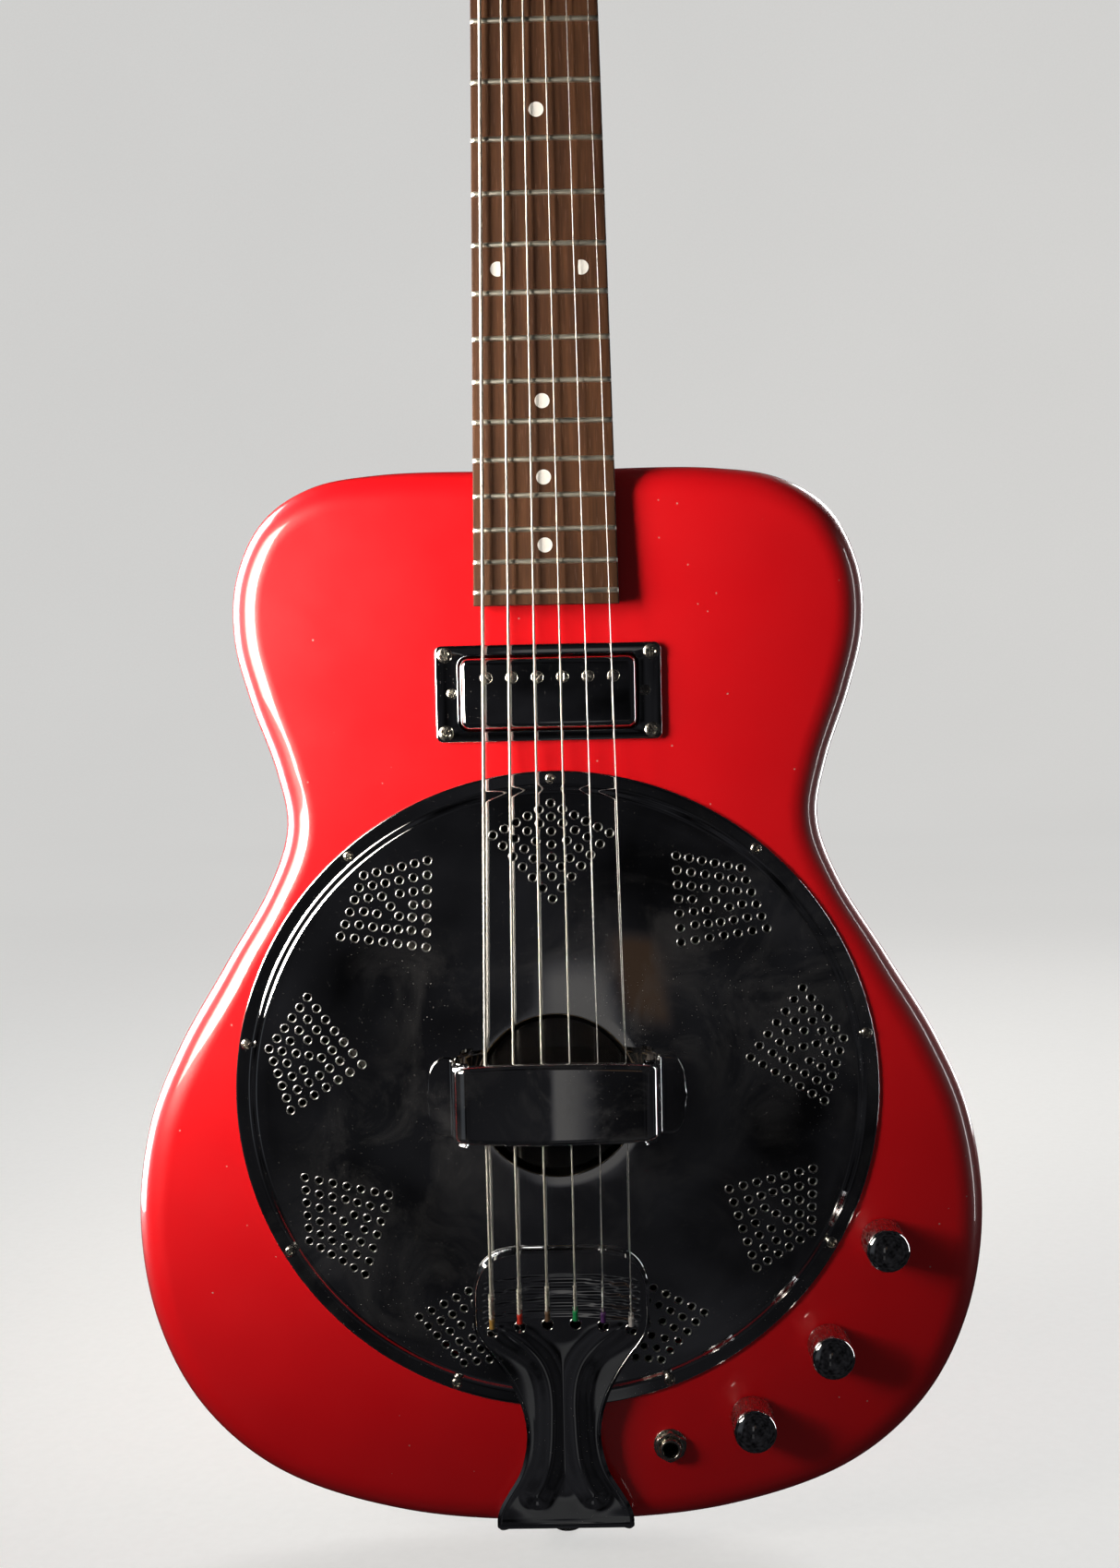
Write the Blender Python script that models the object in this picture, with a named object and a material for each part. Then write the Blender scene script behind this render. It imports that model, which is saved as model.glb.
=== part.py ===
"""A single-cone resonator guitar, as an assembly of separate parts.

Metres. +Z points to the headstock, the face points to -Y, and the origin lies on the outer back face,
behind the centre of the cone. Parts of the body are modelled on the face plane (x across, y to the
headstock, z out of the face), parts of the neck on the fingerboard plane, which leans back a little,
and parts of the headstock on its own plane, which leans back further.
"""

import math

import bmesh
import bpy
from mathutils import Matrix, Vector

# Driving dimensions
SCALE_LENGTH = 0.6477
SADDLE_Y = 0.002
NUT_Y = SADDLE_Y + SCALE_LENGTH
NECK_LEAN = math.radians(2.1)
HEAD_LEAN = math.radians(12.0)
GAP = 0.0003

# Body: two shells that meet at a binding strip halfway down
BODY_DEPTH = 0.060
WALL = 0.003
BINDING = 0.003
BINDING_PROUD = 0.0005
BINDING_INSIDE = 0.004
EDGE_ROUND = 0.014
EDGE_ROUND_LEAST = 0.012
OUTLINE_POINTS = 76
HALF_OUTLINE = (
    (0.0000, 0.2568),
    (0.0699, 0.2565),
    (0.0978, 0.2515),
    (0.1176, 0.2383),
    (0.1290, 0.2153),
    (0.1307, 0.1902),
    (0.1247, 0.1642),
    (0.1147, 0.1346),
    (0.1109, 0.1119),
    (0.1182, 0.0879),
    (0.1395, 0.0524),
    (0.1587, 0.0203),
    (0.1728, -0.0136),
    (0.1784, -0.0570),
    (0.1717, -0.1004),
    (0.1538, -0.1358),
    (0.1220, -0.1638),
    (0.0684, -0.1823),
    (0.0000, -0.1876),
)

# Cone and what covers it
OPENING_R = 0.125
WELL_R = 0.1275
WELL_BORE_R = 0.124
WELL_FLANGE_R = 0.131
WELL_DEPTH = 0.036
CONE_R = 0.1225
CONE_APEX_Z = -0.0043
BISCUIT_R = 0.03175
BISCUIT_TOP = 0.003
COVER_R = 0.1335
COVER_RIM_R = 0.1283
COVER_STEP_R = 0.1240
COVER_HOLE_R = 0.0335
COVER_THICK = 0.001
COVER_RIM_Z = 0.0013
COVER_STEP_Z = 0.0036
COVER_TOP_Z = 0.0070
COVER_SCREWS = 9
SCREW_CIRCLE_R = 0.1303

# Strings
STRING_DIAMETERS = (0.00142, 0.00114, 0.00089, 0.00066, 0.00043, 0.00033)
NUT_SPREAD = 0.0182
SADDLE_SPREAD = 0.0287
STRING_AT_SADDLE_Z = 0.0195
TAIL_HOLE_Y = -0.0950
TAIL_HOLE_DROP = 0.0030
TAIL_HOLE_Z = 0.0090

# Neck
BOARD_THICK = 0.0055
FRET_HEIGHT = 0.001
FRETS = 20
BOARD_END = 0.4489
BOARD_HALF_NUT = 0.0223
BOARD_HALF_END = 0.0295
NUT_PLANE_Z = -0.0075
NUT_THICK = 0.005
NUT_TOP = 0.0009
TENON_HALF = 0.025
TENON_DEPTH = 0.052
TENON_END = 0.4435
NECK_DEPTH_NUT = 0.0150
NECK_DEPTH_BODY = 0.0180
HEEL_DEPTH = 0.0420

# Headstock and tuners
HEAD_THICK = 0.014
HEAD_LENGTH = 0.172
POST_X = 0.0235
POST_YS = (0.036, 0.076, 0.116)
POST_R = 0.003
POST_TOP = 0.0180
WRAP_Z = 0.0080
GEAR_R = 0.0055
WORM_R = 0.0024
PLATE_THICK = 0.0012
EAR_THICK = 0.0018
EAR_HALF = 0.0030
SHAFT_Z = -HEAD_THICK - PLATE_THICK - 0.0033
SHAFT_R = 0.0015
WORM_OFFSET = GEAR_R + WORM_R + GAP

# Fittings on the face
KNOB_PLACES = {"upper": (0.1338, -0.0642), "middle": (0.1110, -0.1084), "lower": (0.0787, -0.1386)}
KNOB_R = 0.0090
KNOB_TOP = 0.0205
JACK_PLACE = (0.0443, -0.1508)
JACK_SLEEVE_R = 0.0045
JACK_BORE_R = 0.0032
JACK_TOP = 0.0062
PICKUP_Y = 0.1655
END_PIN_Z = -0.037

# Colours and finishes: colour, roughness, metallic
RED = ((0.62, 0.012, 0.010), 0.12, 0.0)
CHROME = ((0.80, 0.80, 0.82), 0.06, 1.0)
NICKEL = ((0.70, 0.68, 0.62), 0.22, 1.0)
ALUMINIUM = ((0.72, 0.72, 0.73), 0.35, 1.0)
STEEL = ((0.60, 0.60, 0.60), 0.30, 1.0)
WHITE = ((0.85, 0.84, 0.80), 0.35, 0.0)
BONE = ((0.86, 0.82, 0.70), 0.40, 0.0)
ROSEWOOD = ((0.085, 0.035, 0.020), 0.55, 0.0)
MAHOGANY = ((0.22, 0.075, 0.035), 0.35, 0.0)
BLOCK_WOOD = ((0.45, 0.30, 0.16), 0.60, 0.0)
MAPLE = ((0.60, 0.42, 0.22), 0.45, 0.0)
BLACK_WOOD = ((0.015, 0.014, 0.014), 0.25, 0.0)


# Building blocks

def plane(name, matrix):
    """An empty that parts are modelled on."""
    empty = bpy.data.objects.new(name, None)
    bpy.context.scene.collection.objects.link(empty)
    empty.matrix_world = matrix
    return empty


def dress(obj, look):
    """Gives an object its own material."""
    colour, roughness, metallic = look
    material = bpy.data.materials.new(obj.name)
    material.use_nodes = True
    shader = material.node_tree.nodes["Principled BSDF"]
    shader.inputs["Base Color"].default_value = (*colour, 1.0)
    shader.inputs["Roughness"].default_value = roughness
    shader.inputs["Metallic"].default_value = metallic
    obj.data.materials.append(material)


def settle(obj, parent, location, rotation):
    bpy.context.scene.collection.objects.link(obj)
    obj.parent = parent
    obj.location = location
    obj.rotation_euler = rotation
    return obj


def make(name, bm, look, parent, location=(0, 0, 0), rotation=(0, 0, 0)):
    """Turns a bmesh into a named, shaded object on its plane."""
    bmesh.ops.recalc_face_normals(bm, faces=bm.faces)
    mesh = bpy.data.meshes.new(name)
    bm.to_mesh(mesh)
    bm.free()
    mesh.shade_smooth()
    mesh.set_sharp_from_angle(angle=math.radians(35))
    obj = bpy.data.objects.new(name, mesh)
    if look:
        dress(obj, look)
    return settle(obj, parent, location, rotation)


def helper(name, bm, parent, location=(0, 0, 0), rotation=(0, 0, 0)):
    """A shape that only cuts or joins, and never shows."""
    obj = make(name, bm, None, parent, location, rotation)
    obj.hide_render = True
    obj.display_type = "WIRE"
    return obj


def boolean(obj, operation, other):
    modifier = obj.modifiers.new(operation.lower() + "_" + other.name, "BOOLEAN")
    modifier.operation = operation
    modifier.solver = "EXACT"
    modifier.object = other


def cut(obj, *cutters):
    for cutter in cutters:
        boolean(obj, "DIFFERENCE", cutter)


def join(obj, *others):
    for other in others:
        boolean(obj, "UNION", other)


def circle(radius, count, centre=(0, 0), start=0.0):
    """Points of a circle, counterclockwise."""
    points = []
    for i in range(count):
        angle = start + 2 * math.pi * i / count
        points.append((centre[0] + radius * math.cos(angle), centre[1] + radius * math.sin(angle)))
    return points


def rounded_rectangle(half_x, half_y, radius, steps=4, centre=(0, 0)):
    points = []
    for corner in range(4):
        sx = 1 if corner in (0, 3) else -1
        sy = 1 if corner in (0, 1) else -1
        for i in range(steps + 1):
            angle = math.pi / 2 * (corner + i / steps)
            x = centre[0] + sx * (half_x - radius) + radius * math.cos(angle)
            y = centre[1] + sy * (half_y - radius) + radius * math.sin(angle)
            points.append((x, y))
    return points


def add_loop(bm, points):
    return [bm.verts.new(point) for point in points]


def bridge(bm, first, second):
    """Quads between two loops of the same length."""
    count = len(first)
    for i in range(count):
        j = (i + 1) % count
        bm.faces.new((first[i], first[j], second[j], second[i]))


def add_prism(bm, outline, low, high):
    """A flat outline pushed from one height to another."""
    bottom = add_loop(bm, [(x, y, low) for x, y in outline])
    top = add_loop(bm, [(x, y, high) for x, y in outline])
    bridge(bm, bottom, top)
    bm.faces.new(bottom)
    bm.faces.new(top)


def add_box(bm, low, high):
    outline = [(low[0], low[1]), (high[0], low[1]), (high[0], high[1]), (low[0], high[1])]
    add_prism(bm, outline, low[2], high[2])


def add_turned(bm, profile, count, centre=(0, 0), ring=False):
    """A turned shape about z: (radius, height) pairs from axis to axis, or a closed ring of them."""
    loops = []
    for radius, height in profile:
        if radius < 1e-9:
            loops.append([bm.verts.new((centre[0], centre[1], height))])
        else:
            loops.append(add_loop(bm, [(x, y, height) for x, y in circle(radius, count, centre)]))
    pairs = list(zip(loops, loops[1:]))
    if ring:
        pairs.append((loops[-1], loops[0]))
    for first, second in pairs:
        if len(first) == 1:
            first, second = second, first
        if len(second) == 1:
            for i in range(count):
                bm.faces.new((first[i], first[(i + 1) % count], second[0]))
        else:
            bridge(bm, first, second)


def turned(name, profile, count, look, parent, location=(0, 0, 0), rotation=(0, 0, 0), ring=False):
    bm = bmesh.new()
    add_turned(bm, profile, count, ring=ring)
    return make(name, bm, look, parent, location, rotation)


def add_ribbon(bm, stations, thick):
    """A bent strip. Stations are (along, height, half width) of its outer side; thick goes inwards."""
    loops = []
    for i, (along, height, half) in enumerate(stations):
        before = stations[max(i - 1, 0)]
        after = stations[min(i + 1, len(stations) - 1)]
        run = Vector((after[0] - before[0], after[1] - before[1])).normalized()
        inner = (along + run.y * thick, height - run.x * thick)
        corners = ((-half, along, height), (half, along, height), (half, *inner), (-half, *inner))
        loops.append(add_loop(bm, corners))
    for first, second in zip(loops, loops[1:]):
        bridge(bm, first, second)
    bm.faces.new(loops[0])
    bm.faces.new(loops[-1])


# Body

def catmull_rom(points, steps):
    """A smooth closed curve through the points."""
    curve = []
    count = len(points)
    for i in range(count):
        a, b, c, d = (Vector(points[(i + k) % count]) for k in (-1, 0, 1, 2))
        ka = math.sqrt((b - a).length)
        kb = math.sqrt((c - b).length)
        kc = math.sqrt((d - c).length)
        into = (c - b) - kb * ((c - a) / (ka + kb) - (b - a) / ka)
        out = (c - b) + kb * ((d - c) / kc - (d - b) / (kb + kc))
        for step in range(steps):
            t = step / steps
            h1 = 2 * t**3 - 3 * t**2 + 1
            h2 = t**3 - 2 * t**2 + t
            h3 = -2 * t**3 + 3 * t**2
            h4 = t**3 - t**2
            curve.append(h1 * b + h2 * into + h3 * c + h4 * out)
    return curve


def spread_evenly(curve, count):
    """Points at even distances along a closed curve."""
    lengths = [0.0]
    for a, b in zip(curve, curve[1:] + curve[:1]):
        lengths.append(lengths[-1] + (b - a).length)
    points = []
    k = 0
    for i in range(count):
        wanted = lengths[-1] * i / count
        while lengths[k + 1] < wanted:
            k += 1
        share = (wanted - lengths[k]) / (lengths[k + 1] - lengths[k])
        points.append(curve[k].lerp(curve[(k + 1) % len(curve)], share))
    return points


def body_outline():
    """The body's outline seen from the front, from the top centre and back to it."""
    left = [(-x, y) for x, y in HALF_OUTLINE]
    loop = left + list(reversed(HALF_OUTLINE))[1:-1]
    return spread_evenly(catmull_rom(loop, 12), OUTLINE_POINTS)


def inward_normals(outline):
    normals = []
    for i, point in enumerate(outline):
        run = outline[(i + 1) % len(outline)] - outline[i - 1]
        normals.append(Vector((-run.y, run.x)).normalized())
    return normals


def edge_rounds(outline):
    """How far the rounded edge reaches in: less beside the waist, where the cover plate is near."""
    rounds = []
    for point in outline:
        room = point.length - COVER_R - GAP
        soft = 0.003
        near = min(EDGE_ROUND, room)
        near -= soft * math.exp(-abs(EDGE_ROUND - room) / soft) / 2
        rounds.append(max(near, EDGE_ROUND_LEAST))
    return rounds


def edge_loops(outline, normals, rounds, inset, low, high, steps):
    """Loops of an upright side and its rounded edge, from height low to the flat at height high."""
    side = 1 if high > low else -1
    feet = [point + normal * inset for point, normal in zip(outline, normals)]
    loops = [[(foot.x, foot.y, low) for foot in feet]]
    for step in range(steps + 1):
        turn = math.pi / 2 * step / steps
        loop = []
        for foot, normal, reach in zip(feet, normals, rounds):
            place = foot + normal * (reach * (1 - math.cos(turn)))
            loop.append((place.x, place.y, high - side * reach * (1 - math.sin(turn))))
        loops.append(loop)
    return loops


def add_lofted(bm, loops):
    rings = [add_loop(bm, loop) for loop in loops]
    for first, second in zip(rings, rings[1:]):
        bridge(bm, first, second)
    bm.faces.new(rings[0])
    bm.faces.new(rings[-1])


def make_shell(name, front, outline, face):
    """One moulded half: a shallow tub with a rounded edge."""
    normals = inward_normals(outline)
    rounds = edge_rounds(outline)
    middle = -BODY_DEPTH / 2
    side = 1 if front else -1
    low = middle + side * BINDING / 2
    high = middle + side * BODY_DEPTH / 2
    outer = edge_loops(outline, normals, rounds, 0.0, low, high, 5)
    inner = edge_loops(outline, normals, rounds, WALL, low, high - side * WALL, 3)
    bm = bmesh.new()
    add_lofted(bm, list(reversed(inner)) + outer)
    return make(name, bm, RED, face)


def make_envelope(outline, face):
    """The whole body's outside, a gap larger, which the neck is coped against."""
    normals = inward_normals(outline)
    rounds = edge_rounds(outline)
    middle = -BODY_DEPTH / 2
    grow = BINDING_PROUD + GAP
    front = edge_loops(outline, normals, rounds, -grow, middle + BINDING / 2, GAP, 5)
    back = edge_loops(outline, normals, rounds, -grow, middle - BINDING / 2, -BODY_DEPTH - GAP, 5)
    bm = bmesh.new()
    add_lofted(bm, list(reversed(back)) + front)
    return helper("envelope_cut", bm, face)


def make_binding(outline, face):
    normals = inward_normals(outline)
    middle = -BODY_DEPTH / 2
    half = BINDING / 2 - GAP
    loops = []
    for inset, height in (
        (-BINDING_PROUD, middle - half),
        (-BINDING_PROUD, middle + half),
        (BINDING_INSIDE, middle + half),
        (BINDING_INSIDE, middle - half),
    ):
        places = [p + n * inset for p, n in zip(outline, normals)]
        loops.append([(p.x, p.y, height) for p in places])
    bm = bmesh.new()
    rings = [add_loop(bm, loop) for loop in loops]
    for first, second in zip(rings, rings[1:] + rings[:1]):
        bridge(bm, first, second)
    return make("body_binding", bm, WHITE, face)


def screw_places():
    """The cover plate's screws, the first at the top."""
    places = []
    for i in range(COVER_SCREWS):
        angle = math.pi / 2 + 2 * math.pi * i / COVER_SCREWS
        places.append((SCREW_CIRCLE_R * math.cos(angle), SCREW_CIRCLE_R * math.sin(angle)))
    return places


def make_face_cut(face):
    """Everything that is cut through the front shell from the front, apart from the neck's pocket."""
    bm = bmesh.new()
    low = -0.012
    high = 0.010
    add_prism(bm, circle(OPENING_R, 56), low, high)
    add_prism(bm, rounded_rectangle(0.0380, 0.0163, 0.003, 2, (0, PICKUP_Y)), low, high)
    for place in KNOB_PLACES.values():
        add_prism(bm, circle(0.0042, 16, place), low, high)
    add_prism(bm, circle(0.0049, 16, JACK_PLACE), low, high)
    for place in screw_places():
        add_prism(bm, circle(0.0014, 8, place), low, high)
    return helper("face_cut", bm, face)


def make_pin_hole(face):
    bm = bmesh.new()
    add_prism(bm, circle(0.0033, 16), -0.005, 0.030)
    return helper("pin_hole_cut", bm, face, (0, -0.181, END_PIN_Z), (math.pi / 2, 0, 0))


def make_pin_bore(face):
    """The end pin's blind hole in the tail block."""
    bm = bmesh.new()
    add_prism(bm, circle(0.0030, 12), 0.0, 0.030)
    return helper("pin_bore_cut", bm, face, (0, -0.1610, END_PIN_Z), (math.pi / 2, 0, 0))


def make_neck_block(face, pocket):
    bm = bmesh.new()
    inner = WALL + GAP
    add_box(bm, (-0.040, 0.1870, -BODY_DEPTH + inner), (0.040, 0.2330, -inner))
    block = make("neck_block", bm, BLOCK_WOOD, face)
    cut(block, pocket)


def make_tail_block(face, pin_bore):
    bm = bmesh.new()
    add_box(bm, (-0.030, -0.1820, -0.0480), (0.030, -0.1490, -0.0120))
    block = make("tail_block", bm, BLOCK_WOOD, face)
    cut(block, pin_bore)


# Cone, bridge and cover

def make_sound_well(face):
    top = -WALL - GAP
    ledge = -WELL_DEPTH
    profile = (
        (WELL_FLANGE_R, top),
        (WELL_FLANGE_R, top - 0.002),
        (WELL_R, top - 0.002),
        (WELL_R, ledge),
        (WELL_BORE_R - 0.009, ledge),
        (WELL_BORE_R - 0.009, ledge + 0.002),
        (WELL_BORE_R, ledge + 0.002),
        (WELL_BORE_R, top),
    )
    well = turned("sound_well", profile, 44, ALUMINIUM, face, ring=True)
    windows = bmesh.new()
    for i in range(8):
        angle = math.pi / 8 + math.pi * i / 4
        part = bmesh.new()
        add_prism(part, circle(0.009, 10), 0.118, 0.134)
        lay = Matrix.Rotation(angle, 4, "Z") @ Matrix.Translation((0, 0, -0.020))
        lay = lay @ Matrix.Rotation(math.pi / 2, 4, "Y")
        bmesh.ops.transform(part, matrix=lay, verts=part.verts)
        mesh = bpy.data.meshes.new("window")
        part.to_mesh(mesh)
        part.free()
        windows.from_mesh(mesh)
        bpy.data.meshes.remove(mesh)
    cut(well, helper("window_cut", windows, face))
    holes = bmesh.new()
    for place in screw_places():
        add_prism(holes, circle(0.0013, 8, place), -0.009, 0.0)
    cut(well, helper("flange_cut", holes, face))


def make_cone(face):
    """The spun cone: a rim on the well's ledge, straight flanks and a flat top for the biscuit."""
    skin = 0.001
    rim_top = -WELL_DEPTH + 0.002 + GAP + skin
    apex = CONE_APEX_Z
    profile = (
        (0.0, apex),
        (0.0330, apex),
        (0.0360, apex - 0.0012),
        (0.1140, rim_top + 0.0022),
        (0.1170, rim_top),
        (CONE_R, rim_top),
        (CONE_R, rim_top - skin),
        (0.1166, rim_top - skin),
        (0.1136, rim_top + 0.0022 - skin),
        (0.0356, apex - 0.0012 - skin),
        (0.0328, apex - skin),
        (0.0, apex - skin),
    )
    turned("resonator_cone", profile, 40, ALUMINIUM, face)


def make_biscuit(face):
    bottom = CONE_APEX_Z + GAP
    profile = (
        (0.0, BISCUIT_TOP),
        (BISCUIT_R - 0.001, BISCUIT_TOP),
        (BISCUIT_R, BISCUIT_TOP - 0.001),
        (BISCUIT_R, bottom),
        (0.0, bottom),
    )
    biscuit = turned("biscuit", profile, 32, BLACK_WOOD, face)
    bm = bmesh.new()
    add_box(bm, (-0.0307, SADDLE_Y - 0.0028, BISCUIT_TOP - 0.002), (0.0307, SADDLE_Y + 0.0028, 0.010))
    cut(biscuit, helper("saddle_slot_cut", bm, face))


def make_saddle(face):
    bm = bmesh.new()
    top = STRING_AT_SADDLE_Z - STRING_DIAMETERS[0] / 2 - 2 * GAP
    add_box(bm, (-0.0304, SADDLE_Y - 0.0025, BISCUIT_TOP - 0.002 + GAP), (0.0304, SADDLE_Y + 0.0025, top))
    make("saddle", bm, MAPLE, face)


def cover_height(radius):
    """Height of the cover plate's top above the face, at a distance from its centre."""
    if radius >= COVER_RIM_R:
        return COVER_RIM_Z
    if radius >= COVER_STEP_R:
        share = (COVER_RIM_R - radius) / (COVER_RIM_R - COVER_STEP_R)
        return COVER_RIM_Z + (COVER_STEP_Z - COVER_RIM_Z) * share * share * (3 - 2 * share)
    share = (radius - COVER_HOLE_R) / (COVER_STEP_R - COVER_HOLE_R)
    return COVER_TOP_Z - (COVER_TOP_Z - COVER_STEP_Z) * share * share


def make_cover_plate(face):
    radii = (COVER_R, COVER_RIM_R, COVER_STEP_R, 0.090, 0.062, COVER_HOLE_R)
    top = [(r, cover_height(r)) for r in radii]
    under = [(r, cover_height(r) - COVER_THICK) for r in reversed(radii)]
    plate = turned("cover_plate", top + under, 56, CHROME, face, ring=True)
    holes = bmesh.new()
    for place in screw_places():
        add_prism(holes, circle(0.0014, 8, place), -0.002, 0.004)
    cut(plate, helper("cover_cut", holes, face))


def make_cover_screws(face):
    head = COVER_RIM_Z + GAP
    profile = (
        (0.0, head + 0.0013),
        (0.0013, head + 0.0010),
        (0.00215, head),
        (0.0010, head),
        (0.0010, -0.0065),
        (0.0, -0.0075),
    )
    for i, place in enumerate(screw_places()):
        turned("cover_screw_" + str(i + 1), profile, 8, CHROME, face, (*place, 0))


def make_hand_rest(face):
    """The bridge-shaped cover over the saddle, with an oval foot at each end."""
    foot_z = COVER_TOP_Z + GAP + 0.0015
    half = [
        (0.0533, foot_z, 0.0060),
        (0.0527, foot_z, 0.0100),
        (0.0510, foot_z, 0.0132),
        (0.0485, foot_z, 0.0152),
        (0.0455, foot_z, 0.0158),
        (0.0432, foot_z, 0.0156),
        (0.0423, foot_z + 0.0010, 0.0156),
        (0.0418, 0.0185, 0.0156),
        (0.0400, 0.0225, 0.0160),
        (0.0355, 0.0246, 0.0166),
        (0.0150, 0.0252, 0.0170),
    ]
    stations = [(-x, z, w) for x, z, w in half] + [(x, z, w) for x, z, w in reversed(half)]
    bm = bmesh.new()
    add_ribbon(bm, stations, 0.0015)
    make("hand_rest", bm, CHROME, face, rotation=(0, 0, -math.pi / 2))


# Fittings

def tail_hole_place(i):
    """Where string i is anchored: the holes lie on a shallow arc."""
    share = (2 * i - 5) / 5
    return share * SADDLE_SPREAD, TAIL_HOLE_Y - TAIL_HOLE_DROP * share * share


def make_tailpiece(face, pin_hole):
    stations = [
        (-0.0650, 0.0092, 0.0200),
        (-0.0668, 0.0093, 0.0262),
        (-0.0715, 0.0095, 0.0318),
        (-0.0785, 0.0097, 0.0350),
        (-0.0900, 0.0100, 0.0354),
        (-0.0985, 0.0100, 0.0344),
        (-0.1030, 0.0099, 0.0318),
        (-0.1080, 0.0098, 0.0279),
        (-0.1170, 0.0094, 0.0220),
        (-0.1265, 0.0089, 0.0176),
        (-0.1350, 0.0084, 0.0151),
        (-0.1435, 0.0080, 0.0143),
        (-0.1520, 0.0076, 0.0154),
        (-0.1605, 0.0072, 0.0178),
        (-0.1688, 0.0069, 0.0230),
        (-0.1744, 0.0067, 0.0262),
        (-0.1815, 0.0064, 0.0275),
        (-0.1828, 0.0058, 0.0275),
        (-0.1838, 0.0044, 0.0275),
        (-0.1862, 0.0002, 0.0274),
        (-0.1884, -0.0040, 0.0262),
        (-0.1898, -0.0085, 0.0238),
        (-0.1904, -0.0140, 0.0205),
        (-0.1905, -0.0220, 0.0165),
        (-0.1905, -0.0410, 0.0120),
        (-0.1905, -0.0460, 0.0070),
    ]
    bm = bmesh.new()
    add_ribbon(bm, stations[::-1], 0.0015)
    tail = make("tailpiece", bm, CHROME, face)
    holes = bmesh.new()
    for i in range(6):
        add_prism(holes, circle(0.0024, 12, tail_hole_place(i)), 0.004, 0.014)
    cut(tail, helper("string_hole_cut", holes, face), pin_hole)


def make_end_pin(face):
    profile = (
        (0.0, 0.0410),
        (0.0055, 0.0410),
        (0.0065, 0.0398),
        (0.0065, 0.0385),
        (0.0042, 0.0360),
        (0.0038, 0.0315),
        (0.0062, 0.0294),
        (0.0062, 0.0288),
        (0.0026, 0.0288),
        (0.0026, 0.0012),
        (0.0, 0.0),
    )
    turned("end_pin", profile, 14, CHROME, face, (0, -0.162, END_PIN_Z), (math.pi / 2, 0, 0))


def make_heel_button(face):
    profile = (
        (0.0, 0.0100),
        (0.0055, 0.0100),
        (0.0065, 0.0088),
        (0.0065, 0.0076),
        (0.0038, 0.0055),
        (0.0042, 0.0),
        (0.0, 0.0),
    )
    place = (0, 0.2800, -0.0418)
    turned("heel_strap_button", profile, 14, CHROME, face, place, (math.pi, 0, 0))


def make_pickup(face):
    ring = bmesh.new()
    low = GAP
    high = 0.0026
    outer = rounded_rectangle(0.0462, 0.0198, 0.0025, 3)
    inner = rounded_rectangle(0.0366, 0.0151, 0.0040, 3)
    loops = []
    for outline, height in ((outer, low), (outer, high), (inner, high), (inner, low)):
        loops.append(add_loop(ring, [(x, y, height) for x, y in outline]))
    for first, second in zip(loops, loops[1:] + loops[:1]):
        bridge(ring, first, second)
    make("pickup_ring", ring, CHROME, face, (0, PICKUP_Y, 0))
    cover = bmesh.new()
    shapes = (
        (0.0358, 0.0144, 0.0035, -0.0160),
        (0.0358, 0.0144, 0.0035, 0.0072),
        (0.0354, 0.0140, 0.0032, 0.0082),
        (0.0345, 0.0131, 0.0025, 0.0086),
    )
    loops = []
    for half_x, half_y, radius, height in shapes:
        outline = rounded_rectangle(half_x, half_y, radius, 3)
        loops.append([(x, y, height) for x, y in outline])
    add_lofted(cover, loops)
    make("pickup", cover, CHROME, face, (0, PICKUP_Y, 0))


def make_controls(face):
    """Each control: a fixed pot under the face, its turning shaft, and the knob on the shaft."""
    knob = (
        (0.0, 0.0115),
        (0.0031, 0.0115),
        (0.0031, 0.0010),
        (KNOB_R - 0.0005, 0.0010),
        (KNOB_R, 0.0016),
        (KNOB_R, KNOB_TOP - 0.0042),
        (KNOB_R * 0.93, KNOB_TOP - 0.0022),
        (KNOB_R * 0.68, KNOB_TOP - 0.0008),
        (0.0, KNOB_TOP),
    )
    pot = (
        (0.0, -0.0125),
        (0.0030, -0.0125),
        (0.0030, 0.0002),
        (0.0039, 0.0002),
        (0.0039, -0.0130),
        (0.0115, -0.0130),
        (0.0120, -0.0140),
        (0.0120, -0.0220),
        (0.0, -0.0220),
    )
    shaft = (
        (0.0, 0.0112),
        (0.0022, 0.0112),
        (0.0027, 0.0106),
        (0.0027, -0.0120),
        (0.0, -0.0120),
    )
    for which, place in KNOB_PLACES.items():
        turned("knob_" + which, knob, 18, CHROME, face, (*place, 0))
        turned("pot_" + which, pot, 14, STEEL, face, (*place, 0))
        turned("pot_shaft_" + which, shaft, 10, ALUMINIUM, face, (*place, 0))


def make_jack(face):
    socket = (
        (0.0, -0.0280),
        (JACK_BORE_R, -0.0280),
        (JACK_BORE_R, JACK_TOP - 0.0004),
        (JACK_BORE_R + 0.0003, JACK_TOP),
        (JACK_SLEEVE_R, JACK_TOP),
        (JACK_SLEEVE_R, -0.0034),
        (0.0070, -0.0034),
        (0.0070, -0.0300),
        (0.0, -0.0300),
    )
    turned("jack_socket", socket, 20, NICKEL, face, (*JACK_PLACE, 0))
    bm = bmesh.new()
    count = 24
    inner = circle(JACK_SLEEVE_R + GAP, count)
    washer = circle(0.0069, count)
    hexagon = []
    for i in range(count):
        angle = 2 * math.pi * i / count
        within = (angle + math.pi / 6) % (math.pi / 3) - math.pi / 6
        reach = 0.0058 / math.cos(within)
        hexagon.append((reach * math.cos(angle), reach * math.sin(angle)))
    loops = []
    for outline, height in (
        (inner, GAP),
        (washer, GAP),
        (washer, 0.0009),
        (hexagon, 0.0010),
        (hexagon, 0.0036),
        (inner, 0.0036),
    ):
        loops.append(add_loop(bm, [(x, y, height) for x, y in outline]))
    for first, second in zip(loops, loops[1:] + loops[:1]):
        bridge(bm, first, second)
    make("jack_nut", bm, NICKEL, face, (*JACK_PLACE, 0))


# Neck

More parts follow.
